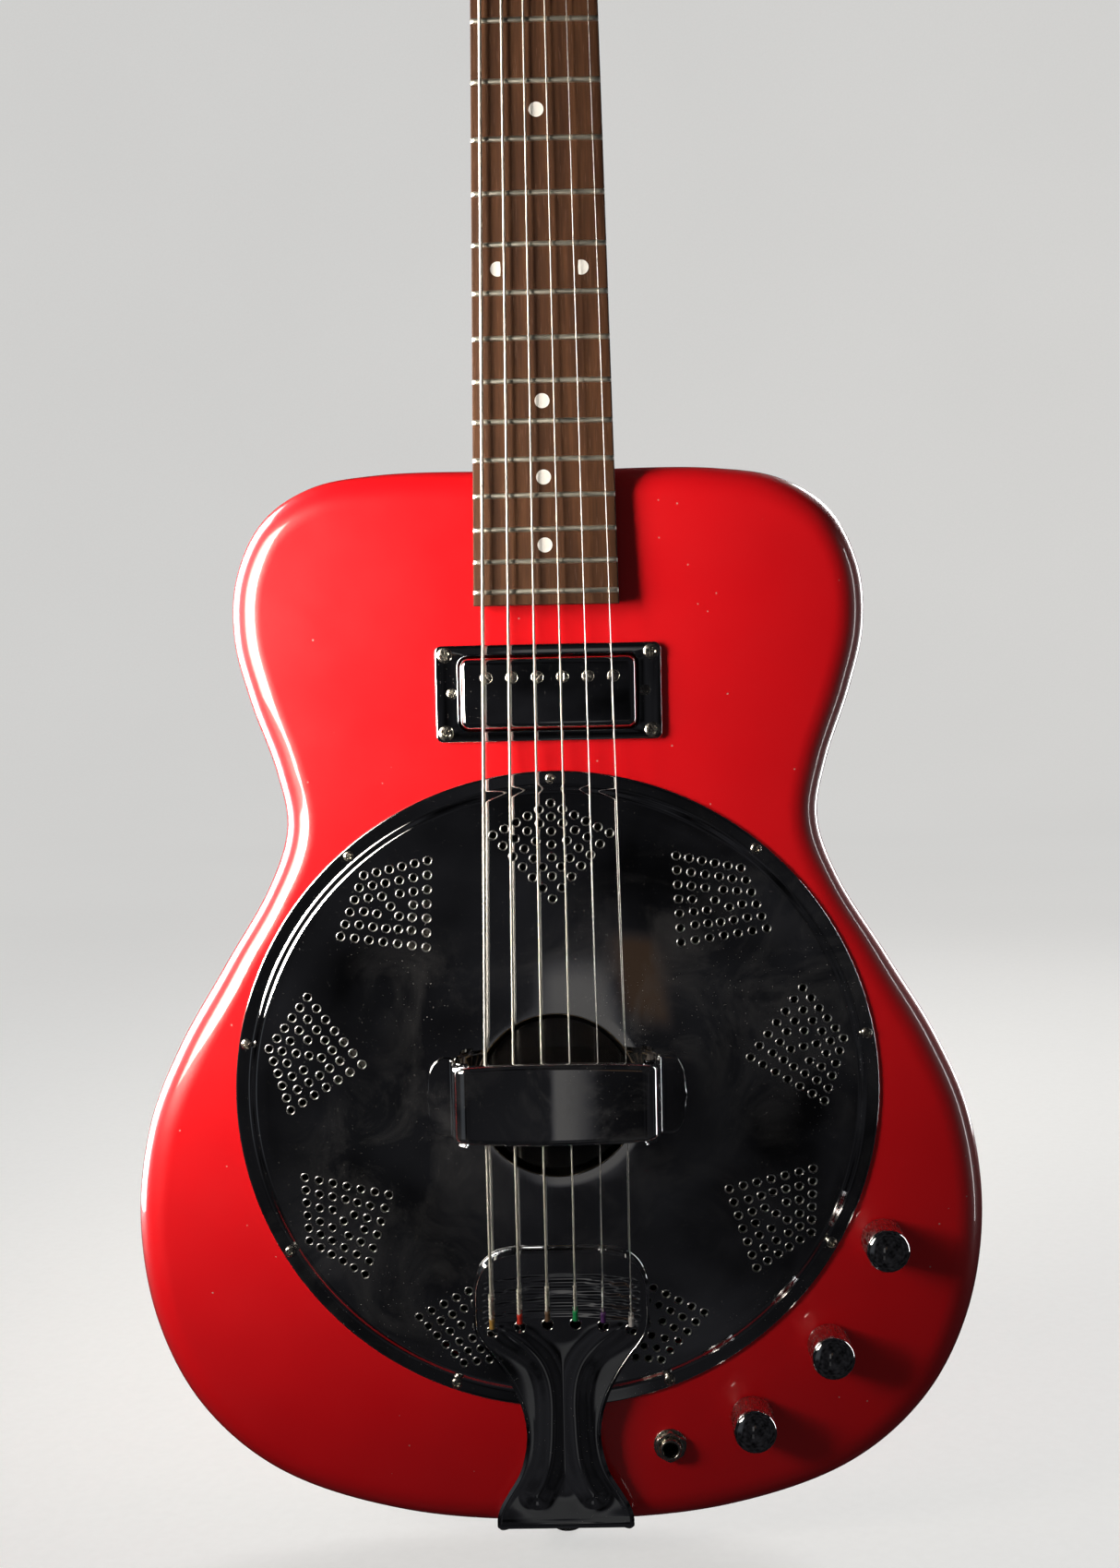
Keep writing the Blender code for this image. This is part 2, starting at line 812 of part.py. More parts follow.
def board_half(y):
    """Half the fingerboard's width at a place along it: y is 0 at the nut and negative to the body."""
    return BOARD_HALF_NUT + (BOARD_HALF_END - BOARD_HALF_NUT) * (-y / BOARD_END)


def neck_depth(y):
    share = min(max(-y / 0.33, 0.0), 1.0)
    depth = NECK_DEPTH_NUT + (NECK_DEPTH_BODY - NECK_DEPTH_NUT) * share
    heel = min(max((-y - 0.330) / 0.040, 0.0), 1.0)
    return depth + (HEEL_DEPTH - depth) * heel * heel * (3 - 2 * heel)


def add_neck_shaft(bm):
    """D-shaped sections from under the nut to the heel, run on into the body to be coped."""
    top = -BOARD_THICK - GAP
    stations = (0.006, -0.080, -0.180, -0.290, -0.330, -0.340, -0.347, -0.354, -0.361, -0.370, -0.400)
    loops = []
    for y in stations:
        half = board_half(y)
        depth = neck_depth(y)
        loop = []
        for step in range(17):
            turn = math.pi * step / 16
            loop.append((half * math.cos(turn), y, top - depth * math.sin(turn) ** 0.9))
        loops.append(loop)
    add_lofted(bm, loops)


def headstock_outline():
    half = (
        (0.0222, -0.010),
        (0.0222, 0.004),
        (0.0260, 0.012),
        (0.0345, 0.021),
        (0.0362, 0.030),
        (0.0350, 0.090),
        (0.0345, 0.148),
        (0.0320, 0.160),
        (0.0240, 0.1655),
        (0.0120, 0.1690),
    )
    return [*half, (0.0, HEAD_LENGTH), *[(-x, y) for x, y in reversed(half)]]


def make_neck(neck_plane, head_plane, face, envelope):
    bm = bmesh.new()
    add_neck_shaft(bm)
    neck = make("neck", bm, MAHOGANY, neck_plane)
    cut(neck, envelope)
    tenon = bmesh.new()
    top = -BOARD_THICK - GAP
    add_box(tenon, (-TENON_HALF, -TENON_END, -TENON_DEPTH), (TENON_HALF, -0.3850, top - 0.0004))
    tongue = bmesh.new()
    low = GAP
    near = 0.2590
    far = NUT_Y - BOARD_END + 0.001
    corners = []
    for sign in (-1, 1):
        for y, half in ((far, BOARD_HALF_END - 0.0014), (near, board_half(near - NUT_Y) - 0.0014)):
            lift = NUT_PLANE_Z + (NUT_Y - y) * math.sin(NECK_LEAN) + top - 0.0001
            corners.append(((sign * half, y, low), (sign * half, y, lift)))
    (a, b), (c, d), (e, f), (g, h) = corners
    first = add_loop(tongue, (a, b, d, c))
    second = add_loop(tongue, (e, f, h, g))
    bridge(tongue, first, second)
    tongue.faces.new(first)
    tongue.faces.new(second)
    head = bmesh.new()
    add_prism(head, headstock_outline(), -HEAD_THICK, 0)
    above = bmesh.new()
    add_box(above, (-0.050, -0.020, top + 0.00005), (0.050, 0.0050, 0.010))
    posts = bmesh.new()
    for x, y in post_places():
        add_prism(posts, circle(POST_R + GAP, 12, (x, y)), -0.020, 0.006)
    join(neck, helper("tenon_join", tenon, neck_plane), helper("tongue_join", tongue, face))
    join(neck, helper("head_join", head, head_plane))
    cut(neck, helper("nut_seat_cut", above, neck_plane), helper("post_cut", posts, head_plane))


def make_pocket(neck_plane):
    bm = bmesh.new()
    slack = GAP
    add_box(
        bm,
        (-TENON_HALF - slack, -TENON_END - slack, -TENON_DEPTH - slack),
        (TENON_HALF + slack, -0.3700, 0.0200),
    )
    return helper("pocket_cut", bm, neck_plane)


def fret_y(number):
    return -SCALE_LENGTH * (1 - 2 ** (-number / 12))


def make_fretboard(neck_plane):
    bm = bmesh.new()
    outline = (
        (-BOARD_HALF_NUT, -GAP),
        (-BOARD_HALF_END, -BOARD_END),
        (BOARD_HALF_END, -BOARD_END),
        (BOARD_HALF_NUT, -GAP),
    )
    add_prism(bm, outline, -BOARD_THICK, 0)
    board = make("fretboard", bm, ROSEWOOD, neck_plane)
    frets = bmesh.new()
    for number in range(1, FRETS + 1):
        y = fret_y(number)
        half = board_half(y) - 0.0002
        section = ((-0.0012, -0.0015), (-0.0012, 0.0002), (-0.0005, FRET_HEIGHT), (0.0005, FRET_HEIGHT),
                   (0.0012, 0.0002), (0.0012, -0.0015))
        ends = [add_loop(frets, [(x, y + dy, z) for dy, z in section]) for x in (-half, half)]
        bridge(frets, *ends)
        frets.faces.new(ends[0])
        frets.faces.new(ends[1])
    join(board, helper("frets_join", frets, neck_plane))


def make_nut(neck_plane):
    bm = bmesh.new()
    bottom = -BOARD_THICK
    add_box(bm, (-BOARD_HALF_NUT + 0.0002, 0.0, bottom), (BOARD_HALF_NUT - 0.0002, NUT_THICK, NUT_TOP))
    make("nut", bm, BONE, neck_plane)


# Tuners

def post_places():
    """Tuner posts in the order of the strings: three up the left side, three down the right."""
    left = [(-POST_X, y) for y in POST_YS]
    right = [(POST_X, y) for y in reversed(POST_YS)]
    return left + right


def make_tuner_plate(name, side, head_plane):
    bm = bmesh.new()
    top = -HEAD_THICK - GAP
    bottom = top - PLATE_THICK
    outline = rounded_rectangle(0.0085, 0.0600, 0.0040, 3, (side * POST_X, POST_YS[1] - 0.004))
    add_prism(bm, outline, bottom, top)
    plate = make(name, bm, NICKEL, head_plane)
    ears = bmesh.new()
    holes = bmesh.new()
    bores = bmesh.new()
    for y in POST_YS:
        middle = y - WORM_OFFSET
        for offset in (-0.0056, 0.0056):
            x = side * POST_X + offset
            low = (x - EAR_THICK / 2, middle - EAR_HALF, SHAFT_Z - 0.0028)
            add_box(ears, low, (x + EAR_THICK / 2, middle + EAR_HALF, bottom + 0.0004))
        add_prism(holes, circle(POST_R + GAP, 12, (side * POST_X, y)), bottom - 0.002, top + 0.002)
        across = [(side * POST_X - 0.009, *p) for p in circle(SHAFT_R + GAP, 10, (middle, SHAFT_Z))]
        other = [(side * POST_X + 0.009, *p) for p in circle(SHAFT_R + GAP, 10, (middle, SHAFT_Z))]
        add_lofted(bores, (across, other))
    join(plate, helper(name + "_ears_join", ears, head_plane))
    cut(plate, helper(name + "_post_cut", holes, head_plane), helper(name + "_shaft_cut", bores, head_plane))


def make_tuner_posts(head_plane):
    gear_top = -HEAD_THICK - 2 * GAP - PLATE_THICK
    gear_bottom = gear_top - 0.0032
    profile = (
        (0.0, POST_TOP),
        (POST_R * 0.75, POST_TOP),
        (POST_R, POST_TOP - 0.0006),
        (POST_R, WRAP_Z + 0.0035),
        (POST_R - 0.0004, WRAP_Z + 0.0015),
        (POST_R - 0.0004, WRAP_Z - 0.0035),
        (POST_R, WRAP_Z - 0.0050),
        (POST_R, gear_top),
        (GEAR_R, gear_top),
        (GEAR_R, gear_bottom),
        (0.0, gear_bottom),
    )
    for i, place in enumerate(post_places()):
        turned("tuner_post_" + str(i + 1), profile, 10, NICKEL, head_plane, (*place, 0))


def make_tuner_buttons(head_plane):
    """A worm shaft with its button. The shaft runs outwards across the plate."""
    profile = (
        (0.0, -0.0075),
        (SHAFT_R, -0.0075),
        (SHAFT_R, -0.0040),
        (WORM_R, -0.0036),
        (WORM_R, 0.0036),
        (SHAFT_R, 0.0040),
        (SHAFT_R, 0.0190),
        (0.0032, 0.0194),
        (0.0062, 0.0225),
        (0.0078, 0.0265),
        (0.0072, 0.0305),
        (0.0040, 0.0330),
        (0.0, 0.0336),
    )
    for i, (x, y) in enumerate(post_places()):
        side = 1 if x > 0 else -1
        place = (x, y - WORM_OFFSET, SHAFT_Z)
        name = "tuner_button_" + str(i + 1)
        turned(name, profile, 10, BONE, head_plane, place, (0, side * math.pi / 2, 0))


# Strings

def string_route(i, neck_matrix, head_matrix):
    """From the tailpiece over the saddle and the nut, then once round the post, in world coordinates."""
    share = (2 * i - 5) / 5
    radius = STRING_DIAMETERS[i] / 2
    face_matrix = face_plane_matrix()
    hole_x, hole_y = tail_hole_place(i)
    above_hole = TAIL_HOLE_Z + 0.0010 + GAP + radius + 0.0004
    on_face = [
        (hole_x, hole_y, TAIL_HOLE_Z),
        (hole_x, hole_y + 0.0004, above_hole - 0.0003),
        (hole_x, hole_y + 0.0030, above_hole + 0.0002),
        (share * SADDLE_SPREAD, SADDLE_Y, STRING_AT_SADDLE_Z),
    ]
    over_nut = NUT_TOP + GAP + radius
    on_neck = [(share * NUT_SPREAD, 0.0, over_nut), (share * NUT_SPREAD, NUT_THICK + GAP, over_nut)]
    x, y = post_places()[i]
    side = 1 if x > 0 else -1
    reach = POST_R + GAP + radius
    on_head = []
    for step in range(11):
        turn = math.radians(34) * step
        px = x - side * reach * math.cos(turn)
        py = y + reach * math.sin(turn)
        on_head.append((px, py, WRAP_Z - 0.0018 * step / 10))
    route = [face_matrix @ Vector(p) for p in on_face]
    route += [neck_matrix @ Vector(p) for p in on_neck]
    route += [head_matrix @ Vector(p) for p in on_head]
    return route


def make_strings(neck_matrix, head_matrix):
    for i, diameter in enumerate(STRING_DIAMETERS):
        name = "string_" + str(i + 1)
        curve = bpy.data.curves.new(name, "CURVE")
        curve.dimensions = "3D"
        curve.bevel_depth = diameter / 2
        curve.bevel_resolution = 0
        curve.use_fill_caps = True
        route = string_route(i, neck_matrix, head_matrix)
        spline = curve.splines.new("POLY")
        spline.points.add(len(route) - 1)
        for point, place in zip(spline.points, route):
            point.co = (*place, 1.0)
        obj = bpy.data.objects.new(name, curve)
        dress(obj, STEEL if i > 2 else NICKEL)
        settle(obj, None, (0, 0, 0), (0, 0, 0))


# Planes

def face_plane_matrix():
    return Matrix.Translation((0, -BODY_DEPTH, 0)) @ Matrix.Rotation(math.pi / 2, 4, "X")


def neck_plane_matrix():
    lean = Matrix.Rotation(-NECK_LEAN, 4, "X")
    return face_plane_matrix() @ Matrix.Translation((0, NUT_Y, NUT_PLANE_Z)) @ lean


def head_plane_matrix():
    lean = Matrix.Rotation(-HEAD_LEAN, 4, "X")
    return neck_plane_matrix() @ Matrix.Translation((0, NUT_THICK, -BOARD_THICK - GAP)) @ lean


def clear_scene():
    for obj in list(bpy.data.objects):
        bpy.data.objects.remove(obj)


def main():
    clear_scene()
    face = plane("face_plane", face_plane_matrix())
    neck_plane = plane("neck_plane", neck_plane_matrix())
    head_plane = plane("head_plane", head_plane_matrix())
    outline = body_outline()
    pocket = make_pocket(neck_plane)
    pin_hole = make_pin_hole(face)
    front = make_shell("body_front_shell", True, outline, face)
    back = make_shell("body_back_shell", False, outline, face)
    binding = make_binding(outline, face)
    cut(front, make_face_cut(face), pocket)
    cut(back, pocket, pin_hole)
    cut(binding, pocket)
    make_neck_block(face, pocket)
    make_tail_block(face, make_pin_bore(face))
    make_sound_well(face)
    make_cone(face)
    make_biscuit(face)
    make_saddle(face)
    make_cover_plate(face)
    make_cover_screws(face)
    make_hand_rest(face)
    make_tailpiece(face, pin_hole)
    make_end_pin(face)
    make_heel_button(face)
    make_pickup(face)
    make_controls(face)
    make_jack(face)
    make_neck(neck_plane, head_plane, face, make_envelope(outline, face))
    make_fretboard(neck_plane)
    make_nut(neck_plane)
    make_tuner_plate("tuner_plate_bass", -1, head_plane)
    make_tuner_plate("tuner_plate_treble", 1, head_plane)
    make_tuner_posts(head_plane)
    make_tuner_buttons(head_plane)
    make_strings(neck_plane_matrix(), head_plane_matrix())


main()
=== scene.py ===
"""Looks for the resonator guitar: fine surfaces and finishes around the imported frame.

Most pieces are modelled on one of three planes and then put in place: the face plane (x across, y to the
headstock, z out of the face), the neck plane, which leans back a little, and the head plane.
"""

import math

import bmesh
import bpy
from mathutils import Matrix, Vector
from mathutils.geometry import delaunay_2d_cdt


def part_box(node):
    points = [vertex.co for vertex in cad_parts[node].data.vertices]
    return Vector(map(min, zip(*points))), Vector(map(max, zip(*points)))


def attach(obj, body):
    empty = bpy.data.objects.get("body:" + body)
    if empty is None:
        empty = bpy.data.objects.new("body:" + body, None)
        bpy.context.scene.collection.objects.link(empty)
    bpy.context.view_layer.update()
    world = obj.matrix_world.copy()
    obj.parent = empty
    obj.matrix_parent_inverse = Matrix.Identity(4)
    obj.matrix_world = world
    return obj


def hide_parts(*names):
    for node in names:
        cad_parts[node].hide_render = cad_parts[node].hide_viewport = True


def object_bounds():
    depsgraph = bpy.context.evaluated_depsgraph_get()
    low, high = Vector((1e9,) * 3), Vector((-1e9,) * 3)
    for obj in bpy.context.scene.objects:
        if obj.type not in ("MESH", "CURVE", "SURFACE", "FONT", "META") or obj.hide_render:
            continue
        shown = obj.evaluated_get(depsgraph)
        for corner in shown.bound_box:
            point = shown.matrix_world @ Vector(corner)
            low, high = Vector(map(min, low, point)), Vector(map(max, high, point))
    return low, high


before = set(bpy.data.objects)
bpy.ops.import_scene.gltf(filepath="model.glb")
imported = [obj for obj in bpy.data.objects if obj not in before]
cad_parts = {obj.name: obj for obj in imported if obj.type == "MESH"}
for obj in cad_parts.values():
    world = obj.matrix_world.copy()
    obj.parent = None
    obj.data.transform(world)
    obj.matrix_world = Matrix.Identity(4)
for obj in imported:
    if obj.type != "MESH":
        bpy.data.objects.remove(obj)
cad_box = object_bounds()

ROOT = "instrument"
MM = 0.001
TURN = 2 * math.pi


def mm(*points):
    """Points given in millimetres, as metres."""
    return tuple(tuple(c * MM for c in point) for point in points)



# Neck and headstock, as the design has them
SADDLE_Y = 2.0 * MM
SCALE_LENGTH = 647.7 * MM
NUT_Y = SADDLE_Y + SCALE_LENGTH
NUT_PLANE_Z = -7.5 * MM
NUT_THICK = 5.0 * MM
NUT_TOP = 0.9 * MM
NECK_LEAN = math.radians(2.1)
HEAD_LEAN = math.radians(12.0)
GAP = 0.3 * MM
BOARD_THICK = 5.5 * MM
BOARD_END = 448.9 * MM
BOARD_HALF_NUT = 22.3 * MM
BOARD_HALF_END = 29.5 * MM
BOARD_CAMBER = 0.40
FRETS = 20
FRET_HALF = 1.1 * MM
DOTTED_FRETS = (3, 5, 7, 9, 12, 15, 17, 19)
HEAD_THICK = 14.0 * MM
POST_X = 23.5 * MM
POST_YS = mm((36, 76, 116))[0]
POST_R = 3.0 * MM
POST_TOP = 18.0 * MM
WRAP_Z = 8.0 * MM
GEAR_R = 5.5 * MM
WORM_R = 2.4 * MM
PLATE_THICK = 1.2 * MM
SHAFT_Z = -HEAD_THICK - PLATE_THICK - 3.3 * MM
SHAFT_R = 1.5 * MM
WORM_OFFSET = GEAR_R + WORM_R + GAP

# Body outline in metres, right half, top centre to bottom centre. A scratch script printed these points.
HALF_OUTLINE = (
    (0.0000, 0.2568), (0.0699, 0.2565), (0.0978, 0.2515), (0.1176, 0.2383), (0.1290, 0.2153),
    (0.1307, 0.1902), (0.1247, 0.1642), (0.1147, 0.1346), (0.1109, 0.1119), (0.1182, 0.0879),
    (0.1395, 0.0524), (0.1587, 0.0203), (0.1728, -0.0136), (0.1784, -0.0570), (0.1717, -0.1004),
    (0.1538, -0.1358), (0.1220, -0.1638), (0.0684, -0.1823), (0.0000, -0.1876),
)
OUTLINE_COUNT = 420
EDGE_ROUND = 14.0 * MM
EDGE_ROUND_LEAST = 12.0 * MM
WALL = 3.0 * MM
BINDING = 3.0 * MM
BINDING_PROUD = 0.48 * MM

# Strings, bass to treble
STRING_DIAMETERS = mm((1.42, 1.14, 0.89, 0.66, 0.43, 0.33))[0]
WOUND_STRINGS = 4
NUT_SPREAD = 18.2 * MM
SADDLE_SPREAD = 28.7 * MM
STRING_AT_SADDLE_Z = 19.5 * MM
TAIL_HOLE_Y = -95.0 * MM
TAIL_HOLE_DROP = 3.0 * MM
TAIL_HOLE_R = 2.3 * MM
TAIL_TOP_Z = 10.0 * MM


# Planes

WORLD = Matrix.Identity(4)
FACE_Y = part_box("body_front_shell")[0].y
BODY_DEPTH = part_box("body_back_shell")[1].y - FACE_Y
FACE = Matrix.Translation((0, FACE_Y, 0)) @ Matrix.Rotation(math.pi / 2, 4, "X")
NECK = FACE @ Matrix.Translation((0, NUT_Y, NUT_PLANE_Z)) @ Matrix.Rotation(-NECK_LEAN, 4, "X")
HEAD = NECK @ Matrix.Translation((0, NUT_THICK, -BOARD_THICK - GAP)) @ Matrix.Rotation(-HEAD_LEAN, 4, "X")


def face_box(node):
    """A CAD node's lowest and highest corners on the face plane."""
    low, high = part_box(node)
    return Vector((low.x, low.z, FACE_Y - high.y)), Vector((high.x, high.z, FACE_Y - low.y))


def at(x, y, z=0.0, turn=0.0):
    return Matrix.Translation((x, y, z)) @ Matrix.Rotation(turn, 4, "Z")


# Node trees

def feed(tree, socket, value):
    """Links a socket to another node's output, or sets it to a plain value."""
    if isinstance(value, bpy.types.NodeSocket):
        tree.links.new(value, socket)
    else:
        socket.default_value = value


def add(tree, kind, sockets=None, **settings):
    """One shader node. Sockets are set from numbers or linked from other nodes' outputs."""
    made = tree.nodes.new("ShaderNode" + kind)
    for key, value in settings.items():
        setattr(made, key, value)
    for key, value in (sockets or {}).items():
        feed(tree, made.inputs[key], value)
    return made


def places(tree, scale=(1, 1, 1), turn=(0, 0, 0)):
    """Object coordinates, stretched and turned."""
    coords = add(tree, "TexCoord").outputs["Object"]
    return add(tree, "Mapping", {"Vector": coords, "Scale": scale, "Rotation": turn}).outputs[0]


def noise(tree, vector, scale, detail=4.0, rough=0.5, twist=0.0):
    sockets = {"Vector": vector, "Scale": scale, "Detail": detail, "Roughness": rough, "Distortion": twist}
    return add(tree, "TexNoise", sockets).outputs["Fac"]


def spread(tree, value, low, high, to_low=0.0, to_high=1.0):
    """A value mapped from one range to another, and kept inside it."""
    sockets = {"Value": value, "From Min": low, "From Max": high, "To Min": to_low, "To Max": to_high}
    return add(tree, "MapRange", sockets).outputs["Result"]


def reckon(tree, operation, first, second):
    made = add(tree, "Math", {0: first, 1: second}, operation=operation)
    return made.outputs[0]


def blend(tree, factor, first, second):
    """A mix of two colours; each is a colour or a socket."""
    made = add(tree, "Mix", {0: factor}, data_type="RGBA")
    for index, value in ((6, first), (7, second)):
        feed(tree, made.inputs[index], (*value, 1.0) if isinstance(value, tuple) else value)
    return made.outputs[2]


def bump(tree, height, distance, strength=1.0, normal=None):
    sockets = {"Height": height, "Distance": distance, "Strength": strength}
    if normal:
        sockets["Normal"] = normal
    return add(tree, "Bump", sockets).outputs["Normal"]


def specks(tree, scale, size, share, seed=0.0):
    """Dust: small dots in a few of the cells of a cell texture, 0 or 1."""
    vector = add(tree, "VectorMath", {0: places(tree), 1: (seed, seed, seed)}).outputs[0]
    cells = add(tree, "TexVoronoi", {"Vector": vector, "Scale": scale, "Randomness": 1.0})
    near = reckon(tree, "LESS_THAN", cells.outputs["Distance"], size)
    pick = add(tree, "SeparateColor", {0: cells.outputs["Color"]}).outputs[0]
    return reckon(tree, "MULTIPLY", near, reckon(tree, "LESS_THAN", pick, share))


def material(name, paint):
    """A material whose tree is filled by paint(tree, shader)."""
    made = bpy.data.materials.new(name)
    made.use_nodes = True
    tree = made.node_tree
    paint(tree, tree.nodes["Principled BSDF"])
    return made


def wire(tree, shader, **sockets):
    """Sets or links the shader's sockets, named with _ for a space."""
    for key, value in sockets.items():
        feed(tree, shader.inputs[key.replace("_", " ")], value)


DUST = (0.55, 0.50, 0.44)


def red_lacquer(tree, shader):
    """Gloss lacquer over a solid red: slight mottling, orange peel, a little dust."""
    vector = places(tree)
    mottle = noise(tree, vector, 9.0, 3.0, 0.6)
    colour = blend(tree, spread(tree, mottle, 0.3, 0.7), (0.70, 0.0024, 0.0072), (0.80, 0.0044, 0.0094))
    dust = specks(tree, 260.0, 0.10, 0.05)
    colour = blend(tree, reckon(tree, "MULTIPLY", dust, 0.5), colour, DUST)
    peel = bump(tree, noise(tree, vector, 420.0, 2.0), 0.00002, 0.25)
    wave = bump(tree, noise(tree, vector, 28.0, 1.0), 0.0001, 0.12, peel)
    haze = noise(tree, vector, 14.0, 6.0, 0.7)
    wire(tree, shader, Base_Color=colour, Roughness=spread(tree, haze, 0.3, 0.8, 0.30, 0.42), Normal=wave)
    wire(tree, shader, Specular_IOR_Level=0.5, Coat_Weight=1.0, Coat_Roughness=0.02, Coat_IOR=1.5)


def plated(colour, least, most, dust_share, veil=0.0):
    """Bright plating with smudges, hairline polishing marks, a thin veil where it was touched, and dust."""
    def paint(tree, shader):
        vector = places(tree)
        smudge = noise(tree, vector, 26.0, 7.0, 0.68, 1.4)
        patch = noise(tree, vector, 7.0, 2.0)
        film = reckon(tree, "MULTIPLY", spread(tree, smudge, 0.46, 0.74), spread(tree, patch, 0.44, 0.66))
        hairs = noise(tree, places(tree, (1, 1, 0.06), (0.3, 0.5, 0.8)), 900.0, 2.0)
        rough = spread(tree, film, 0.0, 1.0, least, most)
        rough = reckon(tree, "ADD", rough, reckon(tree, "MULTIPLY", hairs, least * 0.6))
        drift = spread(tree, noise(tree, vector, 12.0, 3.0), 0.40, 0.64, 0.15, 1.0)
        fine = specks(tree, 1500.0, 0.17, dust_share)
        coarse = specks(tree, 520.0, 0.10, dust_share * 0.4, 0.37)
        dust = reckon(tree, "MAXIMUM", fine, coarse)
        dust = reckon(tree, "MULTIPLY", dust, reckon(tree, "MULTIPLY", drift, 0.42))
        tone = blend(tree, reckon(tree, "MULTIPLY", film, 0.25), colour, tuple(c * 0.7 for c in colour))
        cover = reckon(tree, "MAXIMUM", dust, reckon(tree, "MULTIPLY", film, veil))
        wire(tree, shader, Base_Color=blend(tree, dust, tone, DUST))
        wire(tree, shader, Metallic=reckon(tree, "SUBTRACT", 1.0, cover))
        wire(tree, shader, Roughness=reckon(tree, "MAXIMUM", rough, reckon(tree, "MULTIPLY", dust, 0.8)))
    return paint


def worn_metal(colour, rough, grain_scale, stretch):
    """Plain metal with brushed grain and faint stains."""
    def paint(tree, shader):
        grain = noise(tree, places(tree, stretch), grain_scale, 3.0, 0.6)
        stain = noise(tree, places(tree), 60.0, 5.0, 0.6)
        tone = blend(tree, spread(tree, stain, 0.4, 0.75), colour, tuple(c * 0.62 for c in colour))
        wire(tree, shader, Base_Color=tone, Metallic=1.0, Normal=bump(tree, grain, 0.00003, 0.1))
        wire(tree, shader, Roughness=spread(tree, grain, 0.3, 0.7, rough * 0.7, rough * 1.3))
    return paint


def spun_metal_painted_shade(tree, shader):
    """Aluminium turned on a lathe: fine rings about the cone's axis. Its colour is a dark grey, far below
    bright aluminium: painted shade for the inside of the body.
    """
    vector = places(tree)
    rings = add(tree, "TexWave", {"Vector": vector, "Scale": 160.0, "Distortion": 0.4},
                wave_type="RINGS", rings_direction="Y").outputs["Fac"]
    # Dark grey tones in place of bright aluminium: painted shade, as these parts sit in the shadow inside
    # the body
    tone = blend(tree, noise(tree, vector, 30.0), (0.085, 0.080, 0.076), (0.125, 0.120, 0.112))
    wire(tree, shader, Base_Color=tone, Metallic=1.0, Normal=bump(tree, rings, 0.00005, 0.4))
    wire(tree, shader, Roughness=spread(tree, rings, 0.0, 1.0, 0.42, 0.56))


def wood(dark, light, rough, pores, gloss=0.0, lengthwise=(1, 1, 0.035)):
    """Wood with its grain along z: broad streaks, fine fibres and short open pores."""
    def paint(tree, shader):
        along = places(tree, lengthwise)
        streak = noise(tree, along, 190.0, 5.0, 0.62, 0.3)
        fibre = noise(tree, along, 900.0, 3.0, 0.6)
        tone = blend(tree, spread(tree, streak, 0.33, 0.68), dark, light)
        tone = blend(tree, spread(tree, fibre, 0.35, 0.75, 0.0, 0.45), tone, tuple(c * 0.45 for c in dark))
        open_pores = spread(tree, noise(tree, places(tree, (1, 1, 0.05)), 1500.0, 2.0), 0.62, 0.70)
        pale = tuple(min(1.0, c * 2.0 + 0.06) for c in light)
        tone = blend(tree, reckon(tree, "MULTIPLY", open_pores, pores), tone, pale)
        height = reckon(tree, "SUBTRACT", fibre, open_pores)
        wire(tree, shader, Base_Color=tone, Normal=bump(tree, height, 0.00008, 0.5))
        wire(tree, shader, Roughness=spread(tree, streak, 0.3, 0.7, rough, rough * 1.25))
        wire(tree, shader, Coat_Weight=gloss, Coat_Roughness=0.08, Specular_IOR_Level=0.25)
    return paint


def moulded(colour, rough, tint, gloss=0.0):
    """Plastic, bone or lacquered trim: faint clouding and fine scuffs."""
    def paint(tree, shader):
        vector = places(tree)
        cloud = noise(tree, vector, 70.0, 4.0)
        scuff = noise(tree, places(tree, (1, 1, 0.2), (0.4, 0.2, 0)), 700.0, 3.0, 0.7)
        tone = blend(tree, spread(tree, cloud, 0.35, 0.7), colour, tint)
        wire(tree, shader, Base_Color=tone, Normal=bump(tree, scuff, 0.00002, 0.2))
        wire(tree, shader, Roughness=spread(tree, scuff, 0.35, 0.75, rough, rough * 1.5))
        wire(tree, shader, Coat_Weight=gloss, Coat_Roughness=0.05)
    return paint


def string_metal(colour, rough, pitch):
    """A string: windings across it where it is wound, faint drawing marks where it is plain."""
    def paint(tree, shader):
        turns = add(tree, "TexWave", {"Vector": places(tree), "Scale": 1.0 / (pitch * math.pi)},
                    bands_direction="Z", wave_profile="SIN").outputs["Fac"]
        stain = noise(tree, places(tree), 45.0, 4.0)
        tone = blend(tree, spread(tree, stain, 0.35, 0.7), colour, tuple(c * 0.8 for c in colour))
        wire(tree, shader, Base_Color=tone, Metallic=1.0, Normal=bump(tree, turns, 0.00006, 0.5))
        wire(tree, shader, Roughness=spread(tree, turns, 0.0, 1.0, rough, rough * 1.5))
    return paint


def pearl(tree, shader):
    """White inlay with a soft cloudy figure."""
    vector = places(tree)
    figure = noise(tree, vector, 260.0, 3.0, 0.5, 1.5)
    wire(tree, shader, Base_Color=blend(tree, figure, (0.80, 0.80, 0.76), (0.95, 0.94, 0.92)))
    wire(tree, shader, Roughness=spread(tree, figure, 0.3, 0.7, 0.25, 0.4), Coat_Weight=0.3)


